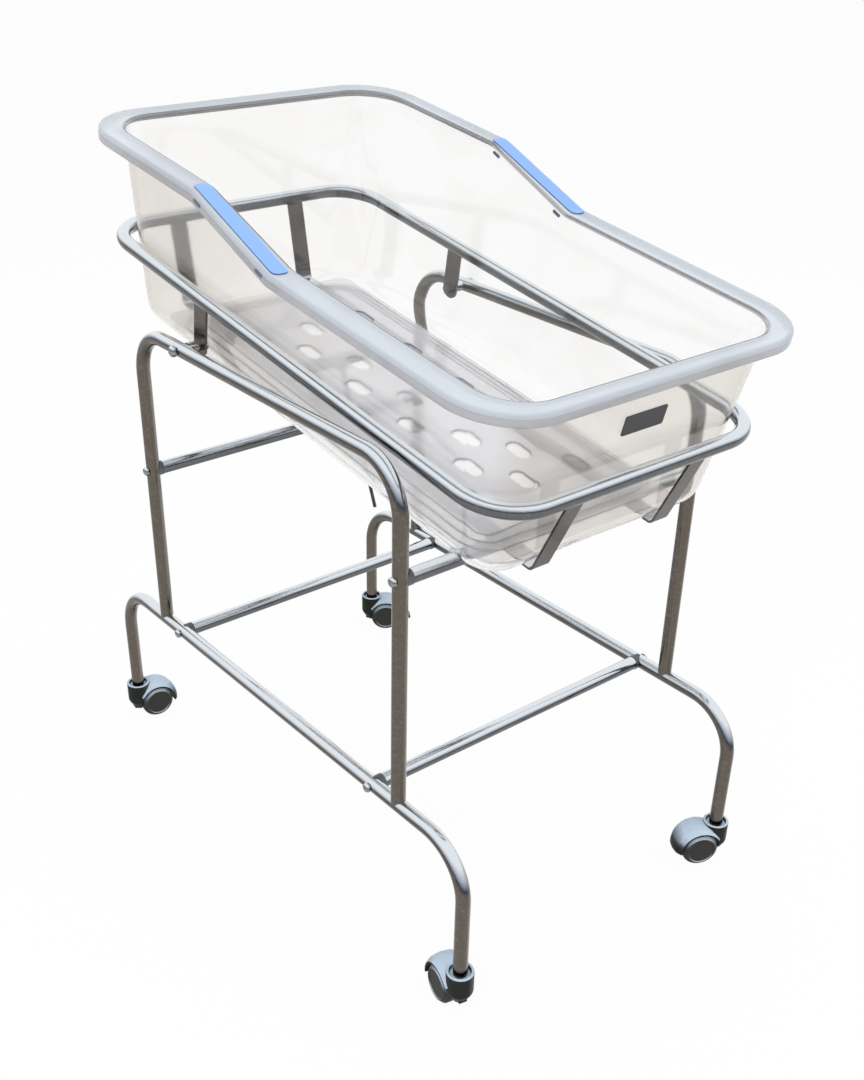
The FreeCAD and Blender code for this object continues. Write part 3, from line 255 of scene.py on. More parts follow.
@dataclass(frozen=True)
class PaintedLight:
    """A smooth finish with painted light, by how it faces: a bright painted top, then a dark line, and
    painted shade at its sides.

    The colours are those of a surface that faces up (sky), half up (half), just above level (line), level
    (side) and down (under). On metal they are a painted reflection of a bright sky over a dark horizon line;
    on plastic they are painted light from above and painted shade at the sides. Noise waves the bands a
    little.
    Sides that turn toward one level direction are painted paler (pale), a painted light, and those that turn
    away from it darker (under), a painted shade. That direction is the camera's right-hand direction,
    rounded.
    """

    name: str
    # Painted reflection on metal and painted light on plastic: sky on top, half and line below it, painted
    # shade at the sides and underneath.
    sky: Colour = (0.74, 0.79, 0.83)
    half: Colour = (0.36, 0.40, 0.46)
    line: Colour = (0.040, 0.047, 0.065)
    side: Colour = (0.130, 0.113, 0.092)
    under: Colour = (0.060, 0.054, 0.050)
    # Painted light on sides that turn toward the camera's right-hand direction.
    pale: Colour = (0.32, 0.30, 0.28)
    gloss: float = 0.13
    gloss_spread: float = 0.08
    wave: float = 0.03
    waves: float = 14.0
    metal: float = 1.0
    index: float = 1.45
    speck: float = 0.2
    speck_shade: Colour = (0.9, 0.9, 0.9)
    brushing: float = 260.0
    brushed: Point = (0.2, 1.0, 1.0)
    relief: float = 0.012
    relief_deep: float = 0.0002
    # The level direction of the painted light and painted shade on the sides: the camera's right-hand one,
    # rounded.
    painted_light_direction: tuple[float, float] = (0.63, 0.78)
    turned: float = 0.62
    painted_light_share: float = 1.8
    painted_shade_share: float = 2.0

    def stops(self) -> list[tuple[float, Colour]]:
        """The painted reflection and painted shade, by how a surface faces.

        Returns:
            A ramp's stops, from straight down at 0 to straight up at 1.
        """
        return [
            (0.0, self.side), (0.20, self.under), (0.38, self.side), (0.57, self.side),
            (0.64, self.line), (0.71, self.half), (0.81, self.sky), (1.0, self.sky),
        ]

    def material(self) -> bpy.types.Material:
        """Build the material.

        Returns:
            The material.
        """
        made = bpy.data.materials.new(self.name)
        tree = Tree(made)
        # Painted reflection and painted shade by how far the surface faces up, waved a little by noise.
        level = tree.facing("Z") * 0.5 + 0.5 + (tree.noise(self.waves, detail=3.0) - 0.5) * self.wave
        shade = tree.node("ShaderNodeValToRGB", {"stops": self.stops()}, {"Fac": level})
        # Painted light on sides turned toward the camera's right-hand direction, painted shade on sides
        # turned away.
        painted_light_x, painted_light_y = self.painted_light_direction
        across = tree.facing("X") * painted_light_x + tree.facing("Y") * painted_light_y
        shade = tree.mix((across - self.turned).most(0.0) * self.painted_light_share, shade, self.pale)
        shade = tree.mix((-self.turned - across).most(0.0) * self.painted_shade_share, shade, self.under)
        grain = tree.noise(self.brushing, stretch=self.brushed)
        tree.close({
            "Base Color": tree.mix((grain - 0.5).most(0.0) * self.speck, shade, self.speck_shade),
            "Metallic": self.metal,
            "IOR": self.index,
            "Roughness": (grain - 0.5) * self.gloss_spread + self.gloss,
            "Normal": tree.bump(grain, self.relief, self.relief_deep),
        })
        return made


@dataclass(frozen=True)
class ClearPlastic:
    """Clear or milky moulded plastic with faint cloudy patches and, where it has one, a warmer tint on some
    walls.
    """

    name: str
    tint: Colour = (0.993, 0.991, 0.988)
    cloud: Colour = (0.972, 0.964, 0.953)
    warm_tint: Colour | None = None
    warm_headward: float = 2.0
    warm_nearward: float = 5.5
    warm_from: float = 0.65
    warm_footward: float = 4.0
    through: float = 0.985
    gloss: float = 0.04
    index: float = 1.42
    clouds: float = 7.0
    cloud_stretch: Point = (1.0, 1.0, 1.6)
    cloud_edge: tuple[float, float] = (0.50, 0.62)
    headward: float = 0.22
    ripples: float = 16.0
    ripple: float = 0.03
    relief: float = 0.05
    relief_deep: float = 0.002

    @staticmethod
    def flat_on(tree: Tree, axis: str) -> Wire:
        """One on a wall square to an axis, falling to nought as the wall turns away."""
        turned, gain = tree.facing(axis), 1.4
        return (turned * turned * gain - (gain - 1.0)).most(0.0)

    def warm_share(self, tree: Tree, along: Wire, across: Wire) -> Wire:
        """How much of the warmer tint a wall takes: most at the near side's head end and on the foot wall.

        Args:
            tree: The material's tree.
            along: The place along X.
            across: The place along Y.

        Returns:
            The share, from 0 to 1.
        """
        corner = along * -self.warm_headward - across * self.warm_nearward - self.warm_from
        flank = self.flat_on(tree, "Y") * corner.most(0.0)
        foot = self.flat_on(tree, "X") * (along * self.warm_footward).most(0.0).least(1.0)
        return flank.most(foot).least(1.0)

    def material(self) -> bpy.types.Material:
        """Build the material.

        Returns:
            The material.
        """
        made = bpy.data.materials.new(self.name)
        tree = Tree(made)
        along, across = tree.place("X"), tree.place("Y")
        patches = tree.noise(self.clouds, 5.0, self.cloud_stretch) - along * self.headward
        shade = tree.mix(tree.mask(patches, *self.cloud_edge), self.tint, self.cloud)
        # A warmer tint on the near side's head end and on the foot wall.
        if self.warm_tint:
            shade = tree.mix(self.warm_share(tree, along, across), shade, self.warm_tint)
        flow = tree.noise(self.ripples)
        tree.close({
            "Base Color": shade,
            "Roughness": flow * self.ripple + self.gloss,
            "Transmission Weight": self.through,
            "IOR": self.index,
            "Normal": tree.bump(flow, self.relief, self.relief_deep),
        })
        return made


@dataclass(frozen=True)
class Moulded:
    """Moulded plastic with a fine grain, slight wear and, where it has one, a darker edge of painted shade on
    its sides.
    """

    name: str
    colour: Colour
    worn: Colour
    gloss: float = 0.4
    gloss_spread: float = 0.15
    metal: float = 0.0
    # Painted shade: the colour of faces that point less up, the sides of a plate.
    edge: Colour | None = None
    painted_shade_turn: float = 0.6
    grain: float = 900.0
    patches: float = 28.0
    patch_edge: tuple[float, float] = (0.52, 0.78)
    patch_share: float = 0.35
    grain_share: float = 0.2
    relief: float = 0.08
    relief_deep: float = 0.0003

    def material(self) -> bpy.types.Material:
        """Build the material.

        Returns:
            The material.
        """
        made = bpy.data.materials.new(self.name)
        tree = Tree(made)
        fine = tree.noise(self.grain)
        patch = tree.noise(self.patches, detail=4.0)
        wear = tree.mask(patch, *self.patch_edge) * self.patch_share + (fine - 0.5) * self.grain_share
        shade = tree.mix(wear, self.colour, self.worn)
        # Painted shade on faces that point less up than a set amount.
        if self.edge:
            shade = tree.mix(tree.facing("Z").under(self.painted_shade_turn), shade, self.edge)
        tree.close({
            "Base Color": shade,
            "Metallic": self.metal,
            "Roughness": (patch - 0.5) * self.gloss_spread + self.gloss,
            "Normal": tree.bump(fine, self.relief, self.relief_deep),
        })
        return made


# ---------------------------------------------------------------- finishes


class Finish(Enum):
    """The finishes of the bassinet."""

    # Painted reflection and painted shade on the steel, flat bar, hardware and stay.
    STEEL = PaintedLight("steel")
    # The same steel with other painted shade and painted line colours, for level tubes.
    LEVEL_STEEL = PaintedLight("steel_horizontal", line=(0.034, 0.040, 0.055), side=(0.135, 0.138, 0.143),
                         under=(0.080, 0.082, 0.086))
    FLAT_BAR = PaintedLight("flat_bar", side=(0.12, 0.104, 0.09), gloss=0.22)
    BRIGHT = PaintedLight("bright_hardware", side=(0.30, 0.30, 0.30), gloss=0.18)
    STAY_ROD = PaintedLight("stay_rod", sky=(0.20, 0.21, 0.22), half=(0.12, 0.12, 0.12), side=(0.05, 0.048, 0.045),
                      gloss=0.3)
    # Painted light from above and painted shade at the sides on the caster hoods and wheels.
    HOOD = PaintedLight("hood_grey", sky=(0.54, 0.65, 0.76), half=(0.38, 0.46, 0.54), line=(0.07, 0.08, 0.09),
                  side=(0.022, 0.024, 0.021), under=(0.02, 0.02, 0.018), pale=(0.11, 0.11, 0.105),
                  gloss=0.36, wave=0.10, metal=0.0, index=1.12, speck=0.05)
    WHEEL = PaintedLight("wheel_grey", sky=(0.42, 0.50, 0.58), half=(0.24, 0.28, 0.33), line=(0.08, 0.09, 0.10),
                   side=(0.045, 0.045, 0.041), under=(0.03, 0.03, 0.027), pale=(0.11, 0.107, 0.10),
                   gloss=0.40, wave=0.06, metal=0.0, index=1.12, speck=0.05)
    PLUG = Moulded("plug_grey", (0.10, 0.105, 0.11), (0.16, 0.165, 0.17), metal=0.3)
    STEM = Moulded("stem_grey", (0.20, 0.23, 0.27), (0.28, 0.31, 0.35), gloss=0.35)
    DARK = Moulded("dark_plastic", (0.030, 0.032, 0.038), (0.075, 0.052, 0.045), gloss=0.45)
    # The grip's darker edge is painted shade on its sides.
    GRIP = Moulded("grip_blue", (0.205, 0.385, 0.84), (0.24, 0.43, 0.87), gloss=0.35, edge=(0.06, 0.12, 0.28))
    CLIP = Moulded("clip_grey", (0.10, 0.13, 0.20), (0.14, 0.17, 0.24), gloss=0.45)
    CLEAR = ClearPlastic("clear_tub", warm_tint=(0.80, 0.765, 0.715))
    FLOOR = ClearPlastic("floor_milky", (0.87, 0.86, 0.885), (0.83, 0.815, 0.83), through=0.60, gloss=0.08)
    RIM = ClearPlastic("rim_milky", (0.57, 0.62, 0.675), (0.52, 0.565, 0.62), through=0.30, gloss=0.18)
    SKIRT = ClearPlastic("skirt_milky", (0.58, 0.58, 0.61), (0.52, 0.51, 0.53), through=0.50, gloss=0.12)
    STEP = ClearPlastic("step_edge", (0.86, 0.85, 0.86), (0.80, 0.79, 0.79), through=0.15, gloss=0.08)
    # Painted shade: a dark line on the rim's inner edge and on the slopes of the dimples.
    PAINTED_EDGE_SHADE = ClearPlastic("painted_edge_shade", (0.36, 0.36, 0.38), (0.32, 0.32, 0.33), through=0.60, gloss=0.10)


class Shop:
    """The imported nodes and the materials, each of them built once."""

    def __init__(self, nodes: dict[str, bpy.types.Object]) -> None:
        """Start with no material.

        Args:
            nodes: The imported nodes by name.
        """
        self.nodes = nodes
        self.made: dict[Finish, bpy.types.Material] = {}

    def material(self, finish: Finish) -> bpy.types.Material:
        """The material of a finish, built when it is first asked for.

        Args:
            finish: The finish.

        Returns:
            Its material.
        """
        if finish not in self.made:
            self.made[finish] = finish.value.material()
        return self.made[finish]

    def dress(self, finish: Finish, *names: str) -> None:
        """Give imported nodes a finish.

        Args:
            finish: The finish.
            names: The nodes' names.
        """
        for name in names:
            mesh = self.nodes[name].data
            mesh.materials.clear()
            mesh.materials.append(self.material(finish))
            LOG.info("dressed %s with %s", name, finish.value.name)


# ---------------------------------------------------------------- base, basket and casters


@dataclass(frozen=True)
class Base:
    """The fixed base: side tubes, hoops, crossbars and their fastenings."""

    tubes: tuple[str, ...] = ("foot_tube", "upright_hoop")
    crossbars: tuple[str, ...] = ("lower_crossbar", "upper_crossbar")
    fastenings: tuple[str, ...] = ("crossbar_bolts", "pivot_bolts", "pivot_spacers", "pivot_nuts")

    def build(self, shop: Shop) -> None:
        """Dress the base's nodes.

        Args:
            shop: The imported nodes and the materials.
        """
        shop.dress(Finish.STEEL, *(f"{tube}_{side}" for tube in self.tubes for side in SIDES))
        shop.dress(Finish.LEVEL_STEEL, *(f"{bar}_{end}" for bar in self.crossbars for end in ENDS))
        shop.dress(Finish.PLUG, "crossbar_plugs")
        shop.dress(Finish.BRIGHT, *self.fastenings)


@dataclass(frozen=True)
class Basket:
    """The tilting basket: its loop, its flat bars and the hanging stay."""

    bars: tuple[str, ...] = ("basket_strap", "pivot_tab")

    def build(self, shop: Shop) -> None:
        """Dress the basket's nodes.

        Args:
            shop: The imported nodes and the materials.
        """
        shop.dress(Finish.LEVEL_STEEL, "basket_loop")
        shop.dress(Finish.FLAT_BAR, "stay_bracket", *(f"{bar}_{side}" for bar in self.bars for side in SIDES))
        shop.dress(Finish.STAY_ROD, "stay_pin", "prop_stay")


@dataclass(frozen=True)
class Caster:
    """A twin-wheel caster at one corner of the base, with or without a brake."""

    side: str
    end: str
    braked: bool

    def build(self, shop: Shop) -> None:
        """Dress the caster's nodes.

        Args:
            shop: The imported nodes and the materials.
        """
        name = f"caster_{self.side}_{self.end}"
        shop.dress(Finish.HOOD, f"{name}_hood")
        shop.dress(Finish.WHEEL, f"{name}_wheel_left", f"{name}_wheel_right")
        shop.dress(Finish.STEM, f"{name}_stem", f"{name}_axle")
        if self.braked:
            shop.dress(Finish.DARK, f"{name}_brake_lever")
            shop.dress(Finish.STEM, f"{name}_lever_pin")


# ---------------------------------------------------------------- tub


def solid(name: str, points: list[Point], faces: list[Face], sharp: float) -> bpy.types.Object:
    """A smooth-shaded mesh object.

    Args:
        name: Its name.
        points: Its corners.
        faces: Its faces.
        sharp: Edges that turn by more degrees than this stay sharp.

    Returns:
        The object.
    """
    mesh = bpy.data.meshes.new(name)
    mesh.from_pydata(points, [], faces)
    work = bmesh.new()
    work.from_mesh(mesh)
    bmesh.ops.recalc_face_normals(work, faces=work.faces)
    work.to_mesh(mesh)
    work.free()
    mesh.shade_smooth()
    mesh.set_sharp_from_angle(angle=math.radians(sharp))
    thing = bpy.data.objects.new(name, mesh)
    bpy.context.scene.collection.objects.link(thing)
    LOG.info("built %s with %d faces", name, len(mesh.polygons))
    return thing


@dataclass(frozen=True)
class Outline:
    """A rounded rectangle in the basket's plane, in metres.

    Its ends lie head and foot metres from the middle, its long sides half metres to each side.
    """

    head: float
    foot: float
    half: float
    corner: float

    def toward(self, other: "Outline", share: float) -> "Outline":
        """The outline part of the way to another.

        Args:
            other: The other outline.
            share: How far, from 0 to 1.

        Returns:
            The outline between them.
        """
        mine = (self.head, self.foot, self.half, self.corner)
        theirs = (other.head, other.foot, other.half, other.corner)
        return Outline(*(low + (high - low) * share for low, high in zip(mine, theirs)))


@dataclass(frozen=True)
class Mesher:
    """How closely rings are divided, the same way on each so that they match point by point."""

    marks: tuple[tuple[float, int], ...] = ((-0.150, 8), (-0.110, 10), (0.010, 6), (0.050, 10))
    last: int = 10
    across: int = 24
    around: int = 14

    def points(self, outline: Outline, grow: float) -> list[tuple[float, float]]:
        """Points round an outline that is made larger by grow.

        Args:
            outline: The outline.
            grow: How much larger on every side.

        Returns:
            Points from the head end of the near side, round by the foot.
        """
        head, foot = -outline.head - grow, outline.foot + grow
        half, corner = outline.half + grow, outline.corner + grow
        start, end = head + corner, foot - corner
        along = []
        here = start
        for place, count in (*self.marks, (end, self.last)):
            along += [here + (place - here) * step / count for step in range(count)]
            here = place
        flat = 2 * half - 2 * corner
        across = [-half + corner + flat * step / self.across for step in range(self.across)]
        near = [(s, -half) for s in along]
        far = [(s, half) for s in along[1:] + [end]][::-1]
        right = [(foot, y) for y in across]
        left = [(head, y) for y in across[1:] + [half - corner]][::-1]
        found = []
        for run, centre, turn in (
            (near, (end, -half + corner), -90), (right, (end, half - corner), 0),
            (far, (start, half - corner), 90), (left, (start, -half + corner), 180),
        ):
            found += run
            for step in range(self.around):
                angle = math.radians(turn + 90 * step / self.around)
                found.append((centre[0] + corner * math.cos(angle), centre[1] + corner * math.sin(angle)))
        return found


@dataclass(frozen=True)
class Dimples:
    """The oval dimples of the floor, in rows of one more and one fewer by turns."""

    long: float = 0.042
    wide: float = 0.024
    deep: float = 0.0020
    slope: float = 0.0016
    wall: float = 0.002
    pitch: float = 0.113
    row: float = 0.043
    rows_each_side: int = 2
    in_row: int = 5
    shift: float = 0.014
    arc: int = 12

    def ovals(self, grow: float) -> list[list[tuple[float, float]]]:
        """Outlines of the dimples, top edge and bottom edge by turns.

        Args:
            grow: How much larger on every side.

        Returns:
            The outlines.
        """
        found = []
        size = self.wide / 2 + grow
        for row in range(-self.rows_each_side, self.rows_each_side + 1):
            count = self.in_row - row % 2
            for step in range(count):
                middle = (self.shift + self.pitch * (step - (count - 1) / 2), self.row * row)
                found += [self.oval(middle, size), self.oval(middle, size - self.slope)]
        return found

    def oval(self, middle: tuple[float, float], radius: float) -> list[tuple[float, float]]:
        """A slot with round ends.

        Args:
            middle: Its middle.
            radius: The radius of its ends.

        Returns:
            Its outline.
        """
        ring = []
        for turn in range(2 * self.arc):
            angle = math.radians(-90 + 180 * turn / self.arc + 90 / self.arc)
            side = 1 if turn < self.arc else -1
            s = middle[0] + side * (self.long - self.wide) / 2 + radius * math.cos(angle)
            ring.append((s, middle[1] + radius * math.sin(angle)))
        return ring


@dataclass(frozen=True)
class Strips:
    """Rings of the shell in order, each with the finish of the strip from it to the next."""

    rings: list[Ring]
    skins: list[Finish]

    def __add__(self, other: "Strips") -> "Strips":
        """These strips and then others."""
        return Strips(self.rings + other.rings, self.skins + other.skins)

    @staticmethod
    def plain(rings: list[Ring], skin: Finish) -> "Strips":
        """Strips of one finish."""
        return Strips(rings, [skin] * len(rings))


@dataclass
class Tub:
    """The clear moulded tub with its stepped rim, its skirt, its dimpled floor and its fittings.

    Its own frame is the basket's: s along the tub, y across it and n square to the loop's plane.
    """

    mesher: Mesher = Mesher()
    dimples: Dimples = Dimples()
    tilt: float = math.radians(8.64)
    loop_z: float = 0.7329
    low: Outline = Outline(0.379, 0.380, 0.1835, 0.046)
    top: Outline = Outline(0.390, 0.407, 0.2195, 0.062)
    flange: Outline = Outline(0.418, 0.4255, 0.248, 0.084)
    deck: Outline = Outline(0.335, 0.335, 0.152, 0.044)
    floor_n: float = -0.1137
    wall: float = 0.003
    edge: float = 0.028
    edge_parts: int = 8
    rim_head: float = 0.160
    rim_foot: float = 0.119
    slope: float = math.tan(math.radians(0.86))
    kinks: tuple[float, float] = (-0.130, 0.030)
    kink_blend: float = 0.006
    skirt: float = 0.015
    lip: float = 0.005
    fillet: float = 0.004
    fillet_parts: int = 4
    steps: int = 3
    tread: float = 0.012
    rise: float = 0.0025
    soft_step: float = 0.0006
    soft_edge: float = 0.00075
    soft_share: float = 0.3
    sharp: float = 30.0
    wall_levels: tuple[float, ...] = (0.25, 0.45, 0.62, 0.78, 0.90)
    flange_levels: tuple[float, ...] = (0.35, 0.7)
    skins: tuple[Finish, ...] = (
        Finish.CLEAR, Finish.FLOOR, Finish.RIM, Finish.SKIRT, Finish.STEP, Finish.PAINTED_EDGE_SHADE,
    )

    def world(self, s: float, y: float, n: float) -> Point:
        """A point of the basket's frame in the row's frame."""
        run, rise = math.cos(self.tilt), math.sin(self.tilt)
        return (s * run + n * rise, y, self.loop_z - s * rise + n * run)

    def rim(self, s: float) -> float:
        """Height of the rim over the loop at a place along the tub.

        Args:
            s: Place along the tub.

        Returns:
            The height, with both kinks softened.
        """
        start, end = self.kinks
        high, low = self.rim_head + start * self.slope, self.rim_foot + end * self.slope
        fall = (low - high) / (end - start)
        level = high + min(max(s - start, 0.0), end - start) * fall
        level += (min(s - start, 0.0) + max(s - end, 0.0)) * self.slope
        for kink, turn in ((start, fall - self.slope), (end, self.slope - fall)):
            near = self.kink_blend - abs(s - kink)
            if near > 0:
                level += turn * near * near / (4 * self.kink_blend)
        return level

    def wall_ring(self, share: float, grow: float, drop: float) -> Ring:
        """A ring on the tapered wall.

        Args:
            share: Height, from 0 at the bottom to 1 at the rim.
            grow: Offset outwards.
            drop: How far under the rim the top is taken.

        Returns:
            Points in the basket's frame.
        """
        found = []
        low, top = self.mesher.points(self.low, grow), self.mesher.points(self.top, grow)
        rounds_to_settle = 3
        for (s0, y0), (s1, y1) in zip(low, top):
            s, y = s1, y1
            for _ in range(rounds_to_settle):
                n = self.floor_n + share * (self.rim(s) - drop - self.floor_n)
                part = self.taper(n)
                s, y = s0 + (s1 - s0) * part, y0 + (y1 - y0) * part
            found.append((s, y, n))
        return found

    def taper(self, n: float) -> float:
        """How far a height is from the bottom outline, at 0, to the top outline, at 1."""
        return (n - self.floor_n) / (self.rim_head - self.floor_n)

    def flange_ring(self, grow: float, drop: float) -> Ring:
        """A ring of the flange's outline that follows the rim.

        Args:
            grow: Offset outwards.
            drop: How far under the rim.

        Returns:
            Points in the basket's frame.
        """
        return [(s, y, self.rim(s) - drop) for s, y in self.mesher.points(self.flange, grow)]

    def flat_ring(self, outline: Outline, grow: float, n: float) -> Ring:
        """A level ring.

        Args:
            outline: Its shape.
            grow: Offset outwards.
            n: Its height.

        Returns:
            Points in the basket's frame.
        """
        return [(s, y, n) for s, y in self.mesher.points(outline, grow)]

    def step_strips(self, base: float, grow: float) -> Strips:
        """The steps of the floor, from the middle outwards.

        Args:
            base: Height of the flat margin round the steps.
            grow: Offset of the steps.

        Returns:
            Their strips, with the risers set apart.
        """
        soft, rise = self.soft_step, self.rise
        part = self.soft_share * soft
        profile = (
            (3 * soft, 0.0, Finish.FLOOR), (soft, 0.0, Finish.FLOOR), (part, part, Finish.FLOOR),
            (0.0, soft, Finish.STEP), (0.0, rise - soft, Finish.STEP),
            (part, rise - part, Finish.FLOOR), (soft, rise, Finish.FLOOR),
        )
        rings, skins = [], []
        for step in reversed(range(self.steps)):
            high = base + (step + 1) * rise
            out = grow - step * self.tread
            for size, fall, skin in profile:
                rings.append(self.flat_ring(self.deck, out - size, high - fall))
                skins.append(skin)
        return Strips(rings, skins)

    def edge_rings(self, base: float, grow: float, radius: float) -> list[Ring]:
        """The rounding from the floor to the wall, from the floor up.

        Args:
            base: Height of the floor's margin.
            grow: Offset of the wall.
            radius: Radius of the rounding.

        Returns:
            The rings.
        """
        found = []
        for step in range(self.edge_parts + 1):
            angle = math.radians(90 * step / self.edge_parts)
            lift, inset = radius * (1 - math.cos(angle)), radius * (1 - math.sin(angle))
            outline = self.low.toward(self.top, self.taper(base + lift))
            found.append(self.flat_ring(outline, grow - inset, base + lift))
        return found

    def quarter(self) -> list[tuple[float, float]]:
        """A quarter turn of a unit rounding in equal parts, as distances from its two square sides."""
        angles = [math.radians(90 * step / self.fillet_parts) for step in range(self.fillet_parts + 1)]
        return [(1 - math.cos(angle), 1 - math.sin(angle)) for angle in angles]

    def skirt_profile(self) -> list[tuple[float, float]]:
        """The skirt's section from its outer face round its lower edge to the flange's underside.

        Returns:
            Offsets outwards from the flange's outline and drops under the rim.
        """
        soft, wall = self.soft_edge, self.wall
        part = self.soft_share * soft
        bend = wall
        return [
            (0.0, self.skirt - soft), (-part, self.skirt - part), (-soft, self.skirt),
            (soft - wall, self.skirt), (part - wall, self.skirt - part), (-wall, self.skirt - soft),
            (-wall, wall + bend), (-wall - bend / 3, wall + bend / 3), (-wall - bend, wall),
        ]

    def rim_strips(self) -> Strips:
        """The rim from the inner wall over the flange and down and round the skirt to the outer wall.

        Returns:
            Its strips: a dark line of painted shade at the inner edge, the milky top, and the skirt.
        """
        fillet = [
            self.wall_ring(1.0, -self.wall + self.fillet * out, self.fillet * down)
            for out, down in self.quarter()
        ]
        lip = [self.flange_ring(-self.lip * inward, self.lip * drop) for drop, inward in self.quarter()]
        flat = [
            [
                (a + (c - a) * part, b + (d - b) * part, self.rim(a + (c - a) * part))
                for (a, b, _), (c, d, _) in zip(fillet[-1], lip[0])
            ]
            for part in self.flange_levels
        ]
        skirt = [self.flange_ring(grow, drop) for grow, drop in self.skirt_profile()]
        bend = self.wall
        root = [
            self.wall_ring(1.0, grow, self.wall + drop)
            for grow, drop in ((bend, 0.0), (bend / 3, bend / 3), (0.0, bend))
        ]
        # The inner fillet takes painted shade as a dark line.
        skins = [Finish.PAINTED_EDGE_SHADE] * self.fillet_parts
        skins += [Finish.RIM] * (len(flat) + len(lip))
        skins += [Finish.SKIRT] * len(skirt)
        skins += [Finish.CLEAR] * (len(root) + 1)
        return Strips(fillet + flat + lip + skirt + root, skins)

    def shell_strips(self) -> Strips:
        """The whole shell, from the floor's middle up, over the rim and back under the floor.

        Returns:
            Its strips.
        """
        upper = self.floor_n + self.wall
        inside = [self.wall_ring(share, -self.wall, self.fillet) for share in self.wall_levels]
        outside = [self.wall_ring(share, 0.0, self.wall) for share in self.wall_levels[::-1]]
        below = self.step_strips(self.floor_n, -self.wall).rings[::-1]
        return (
            self.step_strips(upper, 0.0)
            + Strips.plain(self.edge_rings(upper, -self.wall, self.edge - self.wall) + inside, Finish.CLEAR)
            + self.rim_strips()
            + Strips.plain(outside + self.edge_rings(self.floor_n, 0.0, self.edge)[::-1], Finish.CLEAR)
            + Strips.plain(below, Finish.FLOOR)
        )

    def patch(self, outline: Ring, grow: float, deep: float) -> tuple[list[Point], list[Face]]:
        """The dimpled middle of one side of the floor.

        Args:
            outline: The ring round it.
            grow: How much larger the dimples are than on the upper side.
            deep: Their depth.

        Returns:
            Points, the outline's first, and triangles.
        """
        n = outline[0][2]
        flat = [Vector((s, y)) for s, y, _ in outline]
        loops = [list(range(len(flat)))]
        depth = [n] * len(flat)
        for order, ring in enumerate(self.dimples.ovals(grow)):
            loops.append(list(range(len(flat), len(flat) + len(ring))))
            flat += [Vector(point) for point in ring]
            depth += [n - (order % 2) * deep] * len(ring)
        edges = [(loop[i - 1], loop[i]) for loop in loops for i in range(len(loop))]
        fill_inside, smallest_gap = 1, 1e-6
        _, _, faces, origin, _, _ = delaunay_2d_cdt(flat, edges, [], fill_inside, smallest_gap)
        return (
            [(place.x, place.y, height) for place, height in zip(flat, depth)],
            [tuple(origin[corner][0] for corner in face) for face in faces],
        )

    def floor_skin(self, heights: list[float], levels: tuple[float, float]) -> Finish:
        """What a face of the dimpled floor is.

        Args:
            heights: Heights of its corners.
            levels: Heights of the floor's two sides.

        Returns:
            The finish of the floor, of a dimple's slope in painted shade, or of a dimple's clear bottom.
        """
        same_level = 1e-5
        # A dimple's slope takes painted shade as a dark line.
        if max(heights) - min(heights) > same_level:
            return Finish.PAINTED_EDGE_SHADE
        off = min(abs(heights[0] - level) for level in levels)
        return Finish.FLOOR if off < same_level else Finish.CLEAR

    def mesh(self) -> tuple[list[Point], list[Face], list[Finish]]:
        """The whole shell with both sides of its dimpled floor.

        Returns:
            Its points in the basket's frame, its faces and the finish of each face.
        """
        strips = self.shell_strips()
        rings, dimples = strips.rings, self.dimples
        top, low = rings[0], rings[-1]
        count = len(top)
        points = [point for ring in rings for point in ring]
        faces, skins = [], []
        levels = (top[0][2], low[0][2])
        thin = dimples.deep + dimples.wall - self.wall
        for ring, first, grow, deep in (
            (top, 0, 0.0, dimples.deep), (low, len(points) - count, dimples.wall, thin),
        ):
            middle, caps = self.patch(ring, grow, deep)
            extra = len(points) - count
            points += middle[count:]
            for cap in caps:
                faces.append(tuple(i + (first if i < count else extra) for i in cap))
                skins.append(self.floor_skin([middle[i][2] for i in cap], levels))
        for level in range(len(rings) - 1):
            here, there = level * count, (level + 1) * count
            for i in range(count):
                j = (i + 1) % count
                faces.append((here + i, here + j, there + j, there + i))
                skins.append(strips.skins[level])
        return points, faces, skins

    def build(self, shop: Shop) -> None:
        """Dress the tub's fittings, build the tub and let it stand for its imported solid.

        Args:
            shop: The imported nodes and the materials.
        """
        shop.dress(Finish.CLEAR, "tub_shell")
        shop.dress(Finish.GRIP, *(f"grip_{side}" for side in SIDES))
        shop.dress(Finish.CLIP, *(f"grip_clips_{side}" for side in SIDES))
        shop.dress(Finish.DARK, "label_plate")
        points, faces, skins = self.mesh()
        tub = solid("tub_clear", [self.world(*point) for point in points], faces, self.sharp)
        for skin in self.skins:
            tub.data.materials.append(shop.material(skin))
        for polygon, skin in zip(tub.data.polygons, skins):
            polygon.material_index = self.skins.index(skin)
        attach(tub, "tub")
        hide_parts("tub_shell")


# ---------------------------------------------------------------- studio


@dataclass(frozen=True)
class Lamp:
    """A soft square lamp that gloss and clear plastic don't show."""

    name: str
    place: Point
    power: float
    width: float

    def hang(self, aim: Point) -> None:
        """Hang the lamp.

        Args:
            aim: The point that it shines at.
        """
        lamp = bpy.data.lights.new(self.name, "AREA")
        lamp.energy = self.power
        lamp.size = self.width
        thing = bpy.data.objects.new(self.name, lamp)
        thing.location = self.place
        thing.rotation_euler = (Vector(aim) - Vector(self.place)).to_track_quat("-Z", "Y").to_euler()
        thing.visible_glossy = False
        thing.visible_transmission = False
        bpy.context.scene.collection.objects.link(thing)


